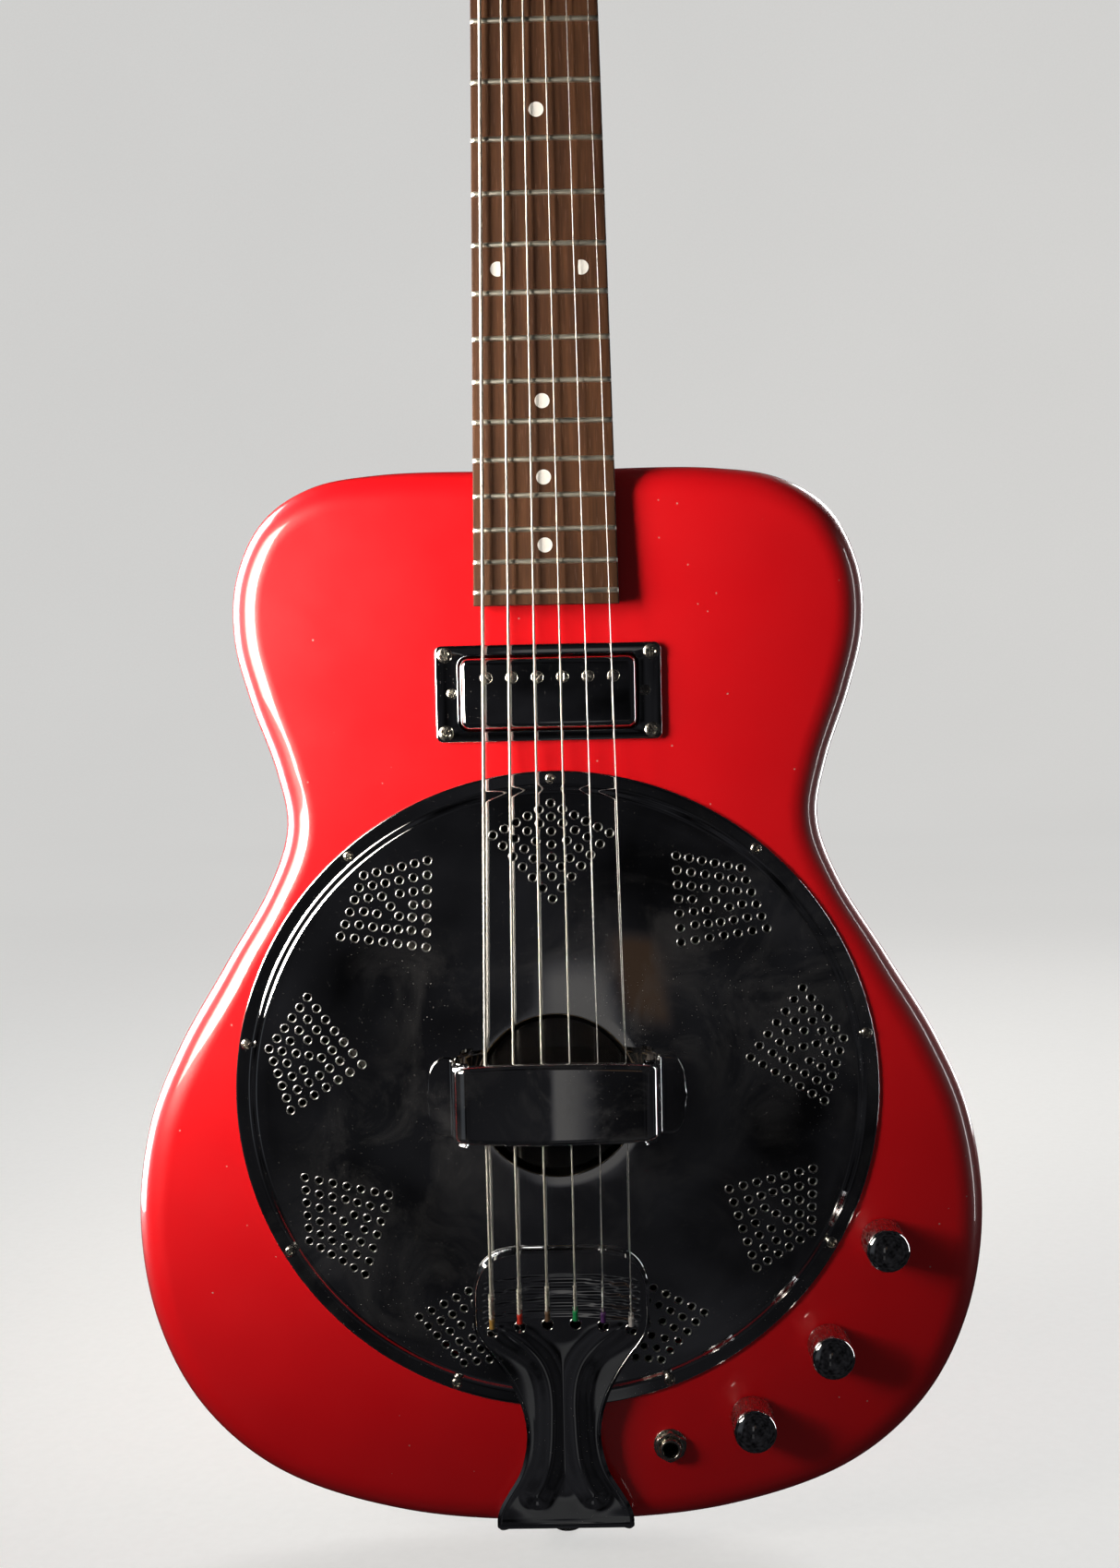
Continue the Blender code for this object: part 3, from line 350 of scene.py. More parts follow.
def make_materials():
    recipes = {
        "red": red_lacquer,
        "chrome": plated((0.76, 0.77, 0.79), 0.03, 0.12, 0.10, 0.05),
        "chrome_trim": plated((0.80, 0.80, 0.81), 0.05, 0.14, 0.03, 0.05),
        "polished": plated((0.80, 0.80, 0.81), 0.05, 0.07, 0.004, 0.01),
        "nickel": worn_metal((0.80, 0.77, 0.70), 0.24, 500.0, (1, 1, 1)),
        "punched": worn_metal((0.60, 0.60, 0.61), 0.30, 700.0, (1, 1, 1)),
        "knurl": worn_metal((0.72, 0.70, 0.69), 0.26, 700.0, (1, 0.2, 1)),
        "aluminium": spun_metal_painted_shade,
        "steel": worn_metal((0.50, 0.50, 0.49), 0.34, 400.0, (1, 1, 0.1)),
        "fret": worn_metal((0.95, 0.92, 0.80), 0.42, 900.0, (0.08, 1, 1)),
        "wound": string_metal((0.90, 0.87, 0.80), 0.36, 0.30 * MM),
        "plain": string_metal((0.92, 0.91, 0.89), 0.30, 2.4 * MM),
        "white": moulded((0.86, 0.84, 0.80), 0.28, (0.76, 0.73, 0.67), 0.4),
        "bone": moulded((0.84, 0.79, 0.66), 0.34, (0.72, 0.64, 0.48)),
        "button": moulded((0.82, 0.78, 0.66), 0.22, (0.66, 0.60, 0.46), 0.5),
        "black": moulded((0.010, 0.010, 0.010), 0.22, (0.022, 0.020, 0.019), 0.5),
        "ebony": moulded((0.004, 0.004, 0.004), 0.14, (0.007, 0.006, 0.006), 0.6),
        "rosewood": wood((0.044, 0.0155, 0.0060), (0.115, 0.047, 0.019), 0.60, 0.16, 0.05),
        "neck": wood((0.100, 0.030, 0.014), (0.210, 0.070, 0.032), 0.32, 0.15, 0.5),
        "block": wood((0.30, 0.18, 0.085), (0.50, 0.34, 0.18), 0.6, 0.2),
        "maple": wood((0.45, 0.29, 0.13), (0.66, 0.48, 0.26), 0.4, 0.1, 0.2, (0.05, 1, 1)),
        "pearl": pearl,
    }
    return {name: material(name, paint) for name, paint in recipes.items()}


LOOKS = make_materials()


# Building blocks

def circle(radius, count, centre=(0.0, 0.0), start=0.0):
    points = []
    for i in range(count):
        angle = start + TURN * i / count
        points.append((centre[0] + radius * math.cos(angle), centre[1] + radius * math.sin(angle)))
    return points


def around(reach, angle, height):
    """A point at a distance and an angle about the z axis."""
    return reach * math.cos(angle), reach * math.sin(angle), height


def quarter(steps):
    """How far a unit quarter round has still to go, as (aside, down), at even steps of its turn."""
    turns = [math.pi / 2 * step / steps for step in range(steps + 1)]
    return [(1 - math.cos(turn), 1 - math.sin(turn)) for turn in turns]


def rounded_rectangle(half_x, half_y, radius, steps=8):
    points = []
    for corner in range(4):
        sx = 1 if corner in (0, 3) else -1
        sy = 1 if corner in (0, 1) else -1
        for i in range(steps + 1):
            angle = math.pi / 2 * (corner + i / steps)
            x = sx * (half_x - radius) + radius * math.cos(angle)
            y = sy * (half_y - radius) + radius * math.sin(angle)
            points.append((x, y))
    return points


def filleted(corners, steps=6):
    """A polyline with round corners. Each corner is (x, y) or (x, y, radius)."""
    points = []
    for i, corner in enumerate(corners):
        here = Vector(corner[:2])
        if len(corner) < 3 or i in (0, len(corners) - 1):
            points.append(here)
            continue
        back = Vector(corners[i - 1][:2]) - here
        on = Vector(corners[i + 1][:2]) - here
        half = back.angle(on) / 2
        reach = min(corner[2] / math.tan(half), back.length * 0.49, on.length * 0.49)
        radius = reach * math.tan(half)
        centre = here + (back.normalized() + on.normalized()).normalized() * (radius / math.sin(half))
        first = here + back.normalized() * reach - centre
        last = here + on.normalized() * reach - centre
        start = math.atan2(first.y, first.x)
        sweep = (math.atan2(last.y, last.x) - start + math.pi) % TURN - math.pi
        for step in range(steps + 1):
            angle = start + sweep * step / steps
            points.append(centre + Vector((math.cos(angle), math.sin(angle))) * radius)
    return points


def catmull_rom(points, steps, closed=True):
    """A smooth curve through the points."""
    curve = []
    count = len(points)
    for i in range(count if closed else count - 1):
        if closed:
            a, b, c, d = (Vector(points[(i + k) % count]) for k in (-1, 0, 1, 2))
        else:
            a, b, c, d = (Vector(points[min(max(i + k, 0), count - 1)]) for k in (-1, 0, 1, 2))
            a = a if i else b * 2 - c
            d = d if i < count - 2 else c * 2 - b
        ka = math.sqrt((b - a).length)
        kb = math.sqrt((c - b).length)
        kc = math.sqrt((d - c).length)
        into = (c - b) - kb * ((c - a) / (ka + kb) - (b - a) / ka)
        out = (c - b) + kb * ((d - c) / kc - (d - b) / (kb + kc))
        for step in range(steps):
            t = step / steps
            h1 = 2 * t**3 - 3 * t**2 + 1
            h2 = t**3 - 2 * t**2 + t
            h3 = -2 * t**3 + 3 * t**2
            h4 = t**3 - t**2
            curve.append(h1 * b + h2 * into + h3 * c + h4 * out)
    if not closed:
        curve.append(Vector(points[-1]))
    return curve


def running_lengths(points):
    lengths = [0.0]
    for a, b in zip(points, points[1:]):
        lengths.append(lengths[-1] + (b - a).length)
    return lengths


def spread_evenly(curve, count):
    """Points at even distances along a closed curve."""
    lengths = running_lengths(curve + curve[:1])
    points = []
    k = 0
    for i in range(count):
        wanted = lengths[-1] * i / count
        while lengths[k + 1] < wanted:
            k += 1
        share = (wanted - lengths[k]) / (lengths[k + 1] - lengths[k])
        points.append(curve[k].lerp(curve[(k + 1) % len(curve)], share))
    return points


def offset_outline(outline, inset):
    """A closed counterclockwise outline moved inwards; inset is one distance, or one for each point."""
    moved = []
    for i, point in enumerate(outline):
        run = Vector(outline[(i + 1) % len(outline)]) - Vector(outline[i - 1])
        inward = Vector((-run.y, run.x)).normalized()
        reach = inset[i] if isinstance(inset, list) else inset
        moved.append(Vector(point[:2]) + inward * reach)
    return moved


def add_loft(bm, loops, matrix=WORLD, caps=True, ring=False):
    """Quads between loops of points. Caps close the two ends; a ring joins last to first."""
    rings = [[bm.verts.new(matrix @ Vector(p)) for p in loop] for loop in loops]
    pairs = list(zip(rings, rings[1:]))
    if ring:
        pairs.append((rings[-1], rings[0]))
    for first, second in pairs:
        count = len(first)
        for i in range(count):
            j = (i + 1) % count
            bm.faces.new((first[i], first[j], second[j], second[i]))
    if caps and not ring:
        bm.faces.new(list(reversed(rings[0])))
        bm.faces.new(rings[-1])


ON_AXIS = 1e-7


def add_turned(bm, profile, count, matrix=WORLD, ring=False):
    """A turned shape about z from (radius, height) points, from axis to axis or as a closed ring."""
    points = filleted(profile)
    loops = []
    for radius, height in points:
        if radius < ON_AXIS:
            loops.append([bm.verts.new(matrix @ Vector((0, 0, height)))])
        else:
            ring_points = circle(radius, count)
            loops.append([bm.verts.new(matrix @ Vector((x, y, height))) for x, y in ring_points])
    pairs = list(zip(loops, loops[1:]))
    if ring:
        pairs.append((loops[-1], loops[0]))
    for first, second in pairs:
        if len(first) == 1:
            first, second = second, first
        for i in range(count):
            j = (i + 1) % count
            if len(second) == 1:
                bm.faces.new((first[i], first[j], second[0]))
            else:
                bm.faces.new((first[i], first[j], second[j], second[i]))


def add_slab(bm, shape, low, high, top_round, bottom_round=0.0, steps=5):
    """A flat piece with rounded edges. shape(inset) gives its outline, moved inwards."""
    levels = [(0.0, low)]
    if bottom_round:
        levels = [(bottom_round * down, low + bottom_round * aside) for aside, down in quarter(steps)]
    levels += [(top_round * aside, high - top_round * down) for aside, down in quarter(steps)]
    add_loft(bm, [[(p[0], p[1], height) for p in shape(inset)] for inset, height in levels])


def add_torus(bm, radius, thick, matrix, count=20, sides=8):
    rows = []
    for i in range(count):
        angle = TURN * i / count
        row = []
        for k in range(sides):
            turn = TURN * k / sides
            reach = radius + thick * math.cos(turn)
            row.append(around(reach, angle, thick * math.sin(turn)))
        rows.append(row)
    add_loft(bm, rows, matrix, ring=True)


def settle(obj, look, body, replaces):
    bpy.context.scene.collection.objects.link(obj)
    obj.data.materials.append(LOOKS[look])
    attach(obj, body)
    if replaces:
        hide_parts(*replaces)


def piece(name, bm, look, slot, body=ROOT, plane=FACE, replaces=(), sharp=40.0, bevel=0.0):
    """Turns a bmesh into a named piece that rides on a body."""
    bmesh.ops.recalc_face_normals(bm, faces=bm.faces)
    bmesh.ops.transform(bm, matrix=plane, verts=bm.verts)
    mesh = bpy.data.meshes.new(name)
    bm.to_mesh(mesh)
    bm.free()
    mesh.shade_smooth()
    mesh.set_sharp_from_angle(angle=math.radians(sharp))
    obj = bpy.data.objects.new(name, mesh)
    settle(obj, look, body, replaces)
    if bevel:
        soften = obj.modifiers.new("bevel", "BEVEL")
        soften.width = bevel
        soften.segments = 3
        soften.limit_method = "ANGLE"
        soften.harden_normals = True


def turned_piece(name, profile, count, place, look, slot, **rest):
    """A named piece turned about the z axis of its place."""
    bm = bmesh.new()
    add_turned(bm, profile, count, place)
    piece(name, bm, look, slot, **rest)


def smooth_step(value, low, high):
    share = min(max((value - low) / (high - low), 0.0), 1.0)
    return share * share * (3 - 2 * share)


def slope_normal(surface, u, v, delta=0.0001):
    """The unit normal of surface(u, v), from small differences."""
    across = surface(u + delta, v) - surface(u - delta, v)
    along = surface(u, v + delta) - surface(u, v - delta)
    return across.cross(along).normalized()


def sheet(name, points, faces, surface, thick, look, replaces):
    """Formed sheet metal on the face plane: a map laid on surface(u, v), with true normals."""
    turn = FACE.to_3x3()
    tops = []
    normals = []
    for u, v in points:
        tops.append(surface(u, v))
        normals.append(slope_normal(surface, u, v))
    unders = [p - n * thick for p, n in zip(tops, normals)]
    count = len(points)
    polygons = [tuple(f) for f in faces]
    polygons += [tuple(count + i for i in reversed(f)) for f in faces]
    sides = {}
    for face in faces:
        for a, b in zip(face, face[1:] + face[:1]):
            sides[(a, b)] = sides.get((b, a)) is None
            if not sides[(a, b)]:
                sides[(b, a)] = False
    walls = [(b, a, count + a, count + b) for (a, b), open_side in sides.items() if open_side]
    mesh = bpy.data.meshes.new(name)
    mesh.from_pydata([FACE @ p for p in tops + unders], [], polygons + walls)
    mesh.shade_smooth()
    mesh.set_sharp_from_angle(angle=math.radians(50))
    corner_normals = []
    for face in faces:
        corner_normals += [turn @ normals[i] for i in face]
    for face in faces:
        corner_normals += [-(turn @ normals[i]) for i in reversed(face)]
    corner_normals += [Vector((0, 0, 0))] * (4 * len(walls))
    mesh.normals_split_custom_set(corner_normals)
    settle(bpy.data.objects.new(name, mesh), look, ROOT, replaces)


def grid_map(us, vs):
    """Points and quads of a regular map."""
    points = [(u, v) for v in vs for u in us]
    faces = []
    for j in range(len(vs) - 1):
        for i in range(len(us) - 1):
            k = j * len(us) + i
            faces.append([k, k + 1, k + 1 + len(us), k + len(us)])
    return points, faces


def ring_map(radii, count):
    """Points and quads between circles about the origin, from the outermost in."""
    points = []
    faces = []
    for radius in radii:
        points += circle(radius, count)
    for k in range(len(radii) - 1):
        for i in range(count):
            a = k * count + i
            b = k * count + (i + 1) % count
            faces.append([a, b, b + count, a + count])
    return points, faces


def joined_maps(maps):
    """Several maps as one; points at the same place become one point."""
    number = {}
    points = []
    faces = []
    for some_points, some_faces in maps:
        index = []
        for point in some_points:
            place = Vector(point)
            key = (round(place.x, 7), round(place.y, 7))
            if key not in number:
                number[key] = len(points)
                points.append(tuple(place))
            index.append(number[key])
        faces += [[index[i] for i in face] for face in some_faces]
    return points, faces


def punched_map(outlines, holes, extra):
    """Points and triangles between outlines, without what lies inside the holes."""
    points = []
    edges = []
    hole_faces = []
    for loop in outlines + holes:
        base = len(points)
        points += [Vector(p[:2]) for p in loop]
        edges += [(base + i, base + (i + 1) % len(loop)) for i in range(len(loop))]
        if loop in holes:
            hole_faces.append(list(range(base, base + len(loop))))
    points += [Vector(p) for p in extra]
    made = delaunay_2d_cdt(points, edges, hole_faces, 1, 1e-7)
    faces = [list(f) for f, source in zip(made[2], made[5]) if not source]
    used = sorted({i for f in faces for i in f})
    number = {old: new for new, old in enumerate(used)}
    return [tuple(made[0][i]) for i in used], [[number[i] for i in f] for f in faces]


# Body

def body_outline():
    left = [(-x, y) for x, y in HALF_OUTLINE]
    loop = left + list(reversed(HALF_OUTLINE))[1:-1]
    return spread_evenly(catmull_rom(loop, 24), OUTLINE_COUNT)


def edge_rounds(outline, room_from):
    """How far the rounded edge reaches in: less beside the waist, where the cover plate is near."""
    rounds = []
    for point in outline:
        room = point.length - room_from
        soft = 3 * MM
        near = min(EDGE_ROUND, room)
        near -= soft * math.exp(-abs(EDGE_ROUND - room) / soft) / 2
        rounds.append(max(near, EDGE_ROUND_LEAST))
    return rounds


OUTLINE = body_outline()
COVER_HIGH = face_box("cover_plate")[1]
COVER_R = COVER_HIGH.x
ROUNDS = edge_rounds(OUTLINE, COVER_R + GAP)
PICKUP_LOW, PICKUP_HIGH = face_box("pickup")
PICKUP_Y = (PICKUP_LOW.y + PICKUP_HIGH.y) / 2
KNOBS = ("upper", "middle", "lower")
OPENING_R = 125 * MM
ROUT = mm((38.0, 16.3, 3))[0]
KNOB_HOLE_R = 4.2 * MM
JACK_HOLE_R = 4.9 * MM
STRIP_HALF = 1.2 * MM
STRIP_DEEP = 4.0 * MM
STRIP_ROUND = 0.5 * MM


def middle_on_face(node):
    low, high = face_box(node)
    return (low.x + high.x) / 2, (low.y + high.y) / 2


def shell_loops(side, steps=26):
    """Loops from the parting line, up the side, round the edge, to just inside the flat."""
    middle = -BODY_DEPTH / 2
    low = middle + side * BINDING / 2
    reach = BODY_DEPTH / 2 - BINDING / 2
    loops = [[(p.x, p.y, low) for p in OUTLINE]]
    for aside, down in quarter(steps):
        ring = offset_outline(OUTLINE, [r * aside for r in ROUNDS])
        drops = [r * down for r in ROUNDS]
        loops.append([(p.x, p.y, low + side * (reach - drop)) for p, drop in zip(ring, drops)])
    flat = offset_outline(OUTLINE, [r + 0.4 * MM for r in ROUNDS])
    loops.append([(p.x, p.y, low + side * reach) for p in flat])
    return loops


def make_shell(name, side, holes, node):
    """One moulded half, with its inside wall, so that it is a closed shell."""
    loops = shell_loops(side)
    flat = [p[:2] for p in loops[-1]]
    height = loops[-1][0][2]
    points, faces = punched_map([flat], holes, [])
    bm = bmesh.new()
    add_loft(bm, loops, caps=False)
    deep = height - side * WALL
    inner = [[(x * 0.985, y * 0.985, z) for x, y, z in loops[0]]]
    inner.append([(p.x, p.y, deep) for p in offset_outline(OUTLINE, [r + WALL for r in ROUNDS])])
    add_loft(bm, inner, caps=False)
    rim = [[(*p[:2], loops[0][0][2]) for p in loops[0]], inner[0]]
    add_loft(bm, rim, caps=False)
    for level in (height, deep):
        verts = [bm.verts.new((x, y, level)) for x, y in points]
        for face in faces:
            bm.faces.new([verts[i] for i in face])
    for hole in holes:
        add_loft(bm, [[(*p[:2], height) for p in hole], [(*p[:2], deep) for p in hole]], caps=False)
    add_loft(bm, [[(*p, deep) for p in flat], inner[1]], caps=False)
    bmesh.ops.remove_doubles(bm, verts=bm.verts, dist=1e-7)
    piece(name, bm, "red", "red_lacquer", replaces=(node,), sharp=35)


def make_body():
    opening = circle(OPENING_R, 160)
    rout = [(x, y + PICKUP_Y) for x, y in rounded_rectangle(*ROUT, 4)]
    small = [circle(KNOB_HOLE_R, 24, middle_on_face("knob_" + which)) for which in KNOBS]
    small.append(circle(JACK_HOLE_R, 24, middle_on_face("jack_nut")))
    make_shell("front_shell", 1, [opening, rout, *small], "body_front_shell")
    make_shell("back_shell", -1, [], "body_back_shell")
    middle = -BODY_DEPTH / 2
    profile = filleted([
        (STRIP_DEEP, -STRIP_HALF),
        (-BINDING_PROUD, -STRIP_HALF, STRIP_ROUND),
        (-BINDING_PROUD, STRIP_HALF, STRIP_ROUND),
        (STRIP_DEEP, STRIP_HALF),
    ])
    bm = bmesh.new()
    loops = []
    for inset, height in profile:
        loops.append([(p.x, p.y, middle + height) for p in offset_outline(OUTLINE, inset)])
    add_loft(bm, loops, ring=True)
    piece("binding_strip", bm, "white", "white_binding", replaces=("body_binding",))


# Cover plate

RIM_R = 128.3 * MM
STEP_R = 124.0 * MM
HOLE_R = face_box("biscuit")[1].x + 1.75 * MM
RIM_Z = 1.3 * MM
STEP_Z = 3.6 * MM
TOP_Z = COVER_HIGH.z
LIP = 0.7 * MM
COVER_COUNT = 240
PERFORATION_R = 1.42 * MM
PERFORATION_EDGE = 0.28 * MM
PERFORATION_RISE = 0.26 * MM
SCREW_CIRCLE_R = 130.3 * MM
SCREWS = 9
# One group of holes, in millimetres: the middle column's distances from the centre, as a scratch script
# printed them, then the corners, counts and pitches of the rows that run in to it
CENTRE_COLUMN = (120.2, 114.7, 108.8, 103.4, 98.1, 90.4, 81.2)
SIDE_CORNER = (23.85, 107.6)
INNER_CORNER = (0.0, 81.2)
ROW_HOLES = (5, 4, 3, 2, 2, 1, 0)
ROW_PITCHES = (5.39, 5.85, 5.65, 5.63, 5.95, 5.45, 5.45)


def cover_height(radius):
    """Height of the plate above the face: a flat rim, a soft step and a low dome."""
    if radius >= RIM_R:
        fall = max(radius - (COVER_R - LIP), 0.0)
        return RIM_Z - (LIP - math.sqrt(max(LIP * LIP - fall * fall, 0.0)))
    if radius >= STEP_R:
        return RIM_Z + (STEP_Z - RIM_Z) * smooth_step(RIM_R - radius, 0.0, RIM_R - STEP_R)
    share = (radius - HOLE_R) / (STEP_R - HOLE_R)
    dome = TOP_Z - (TOP_Z - STEP_Z) * share * share
    fall = min(max(HOLE_R + LIP - radius, 0.0), LIP)
    return dome - (LIP - math.sqrt(LIP * LIP - fall * fall))


def cover_surface(x, y):
    return Vector((x, y, cover_height(math.hypot(x, y))))


def screw_angles():
    return [math.pi / 2 + TURN * i / SCREWS for i in range(SCREWS)]


def kite():
    """One group's hole centres, as (sideways, outwards): rows that run in to the middle column."""
    centres = []
    for row, radius in enumerate(CENTRE_COLUMN):
        middle = Vector((0.0, radius))
        centres.append(middle)
        start = Vector(SIDE_CORNER).lerp(Vector(INNER_CORNER), row / (len(CENTRE_COLUMN) - 1))
        run = (middle - start).normalized()
        for k in range(ROW_HOLES[row]):
            place = start + run * ROW_PITCHES[row] * k
            centres.append(place)
            centres.append(Vector((-place.x, place.y)))
    return [c * MM for c in centres]


def perforations():
    places = []
    for angle in screw_angles():
        outwards = Vector((math.cos(angle), math.sin(angle)))
        sideways = Vector((outwards.y, -outwards.x))
        for side, out in kite():
            places.append(sideways * side + outwards * out)
    return places


def cover_fill(holes):
    """Points between the holes that carry the dome's shape."""
    fill = []
    inner = HOLE_R + LIP
    for k in range(1, 20):
        for point in circle(inner + (STEP_R - inner) * k / 20, 120, start=(k % 2) * math.pi / 120):
            place = Vector(point)
            near = [h for h in holes if abs(h.x - place.x) < 4 * MM and abs(h.y - place.y) < 4 * MM]
            if all((h - place).length > PERFORATION_R + 0.9 * MM for h in near):
                fill.append(place)
    return fill


def add_perforation_lip(bm, matrix):
    """The raised round rim of one punched hole, with its wall below."""
    middle = PERFORATION_R + PERFORATION_EDGE
    profile = [(middle + PERFORATION_EDGE, -0.3 * MM)]
    for k in range(9):
        turn = math.pi * k / 8
        profile.append((middle + PERFORATION_EDGE * math.cos(turn), PERFORATION_RISE * math.sin(turn)))
    profile.append((PERFORATION_R, -1.0 * MM))
    profile.append((PERFORATION_R + 0.2 * MM, -1.0 * MM))
    profile.append((PERFORATION_R + 0.2 * MM, -0.3 * MM))
    add_loft(bm, [[(x, y, z) for x, y in circle(r, 20)] for r, z in profile], matrix, ring=True)


def make_cover():
    holes = perforations()
    loops = [circle(PERFORATION_R + 0.42 * MM, 20, tuple(h)) for h in holes]
    inner = HOLE_R + LIP
    loops.append(circle(inner, COVER_COUNT))
    dome = punched_map([circle(STEP_R, COVER_COUNT)], loops, cover_fill(holes))
    rim = [COVER_R - LIP * down for aside, down in reversed(quarter(6))]
    rim += [RIM_R + (COVER_R - LIP - RIM_R) * k / 6 for k in range(5, -1, -1)]
    rim += [RIM_R + (STEP_R - RIM_R) * k / 16 for k in range(1, 17)]
    mouth = [HOLE_R + LIP * down for aside, down in quarter(6)]
    maps = [ring_map(rim, COVER_COUNT), dome, ring_map(mouth, COVER_COUNT)]
    points, faces = joined_maps(maps)
    sheet("cover_plate_fine", points, faces, cover_surface, 1.0 * MM, "chrome", ("cover_plate",))
    bm = bmesh.new()
    for hole in holes:
        normal = slope_normal(cover_surface, hole.x, hole.y)
        place = Matrix.Translation(cover_surface(hole.x, hole.y))
        add_perforation_lip(bm, place @ normal.to_track_quat("Z", "Y").to_matrix().to_4x4())
    piece("perforation_lips", bm, "punched", "chrome", sharp=60)


def screw_height(x, y, radius, dome, recess):
    """Height of a screw head's top above its seat at a point."""
    out = math.hypot(x, y) / radius
    height = dome * math.sqrt(max(1 - 0.86 * out * out, 0.0))
    soft = 0.06 * radius
    long_arm = 0.58 * radius
    width = 0.13 * radius
    deep = 0.0
    bars = ((x, y), (y, x)) if recess == "cross" else ((x, y),)
    for across, along in bars:
        reach = long_arm if recess == "cross" else radius * 1.2
        within = smooth_step(width + soft - abs(across), 0.0, soft)
        deep = max(deep, within * smooth_step(reach + soft - abs(along), 0.0, soft * 3))
    return height - deep * dome * (0.75 if recess == "cross" else 0.55)


def add_screw_head(bm, radius, dome, matrix, recess="cross", skirt=0.3 * MM):
    """A domed head with a cross or slot pressed into it, and a short skirt."""
    rings = 16
    count = 56
    loops = []
    for k in range(1, rings + 1):
        reach = radius * (k / rings) ** 0.85
        ring = circle(reach, count)
        loops.append([(x, y, skirt + screw_height(x, y, radius, dome, recess)) for x, y in ring])
    edge = loops[-1]
    loops.append([(x, y, 0.0) for x, y, z in edge])
    add_loft(bm, loops, matrix, caps=False)
    bm.verts.ensure_lookup_table()
    total = len(loops) * count
    first = bm.verts[-total:][:count]
    last = bm.verts[-count:]
    top = bm.verts.new(matrix @ Vector((0, 0, skirt + screw_height(0, 0, radius, dome, recess))))
    for i in range(count):
        bm.faces.new((first[i], top, first[(i + 1) % count]))
    bm.faces.new(last)


def make_cover_screws():
    for i, angle in enumerate(screw_angles()):
        bm = bmesh.new()
        x = SCREW_CIRCLE_R * math.cos(angle)
        y = SCREW_CIRCLE_R * math.sin(angle)
        add_screw_head(bm, 2.15 * MM, 1.0 * MM, at(x, y, RIM_Z + 0.05 * MM, 0.9 * i))
        number = str(i + 1)
        piece("cover_screw_head_" + number, bm, "nickel", "chrome", replaces=("cover_screw_" + number,))


# Bridge

def make_biscuit():
    low, high = face_box("biscuit")
    radius = high.x
    profile = ((0, low.z), (radius, low.z, 0.4 * MM), (radius, high.z, 0.7 * MM), (0, high.z))
    turned_piece("biscuit_fine", profile, 128, WORLD, "ebony", "black_wood", replaces=("biscuit",))


def string_share(i):
    """-1 for the bass string, 1 for the treble string."""
    return (2 * i - 5) / 5


def add_notched_bar(bm, half, base, crest, ends, spread, cuts, narrow, floors):
    """A bar between two ends along y, with cut corners and a notch for each string.

    cuts holds the notches' slack beside a string, then how far the corners are cut across and down.
    """
    slack, cut_x, cut_z = cuts
    outline = [(-half, base), (half, base), (half, crest - cut_z), (half - cut_x, crest)]
    for i in reversed(range(6)):
        x = string_share(i) * spread
        wide = STRING_DIAMETERS[i] / 2 + slack
        floor = floors[i]
        outline += [(x + wide, crest), (x + wide * narrow, floor)]
        outline += [(x - wide * narrow, floor), (x - wide, crest)]
    outline += [(-half + cut_x, crest), (-half, crest - cut_z)]
    add_loft(bm, [[(x, end, z) for x, z in outline] for end in ends])


def make_saddle():
    """A maple saddle with a notch under each string."""
    low, high = face_box("saddle")
    crest = STRING_AT_SADDLE_Z + 0.2 * MM
    floors = [STRING_AT_SADDLE_Z - diameter / 2 for diameter in STRING_DIAMETERS]
    bm = bmesh.new()
    add_notched_bar(bm, high.x, low.z, crest, (low.y, high.y), SADDLE_SPREAD,
                    (0.15 * MM, 1.2 * MM, 1.5 * MM), 0.6, floors)
    piece("saddle_fine", bm, "maple", "maple", replaces=("saddle",), bevel=0.15 * MM)


def path_map(corners, spacing):
    """A rounded path as a function of its length, with the lengths where it needs points."""
    path = filleted(corners, 14)
    lengths = running_lengths(path)

    def place(length):
        k = 0
        while k < len(lengths) - 2 and lengths[k + 1] < length:
            k += 1
        share = (length - lengths[k]) / (lengths[k + 1] - lengths[k])
        run = (path[k + 1] - path[k]).normalized()
        return path[k].lerp(path[k + 1], share), Vector((-run.y, run.x))

    stops = set(lengths)
    for a, b in zip(lengths, lengths[1:]):
        parts = max(1, round((b - a) / spacing))
        stops |= {a + (b - a) * i / parts for i in range(parts)}
    return place, sorted(stops), lengths[-1]


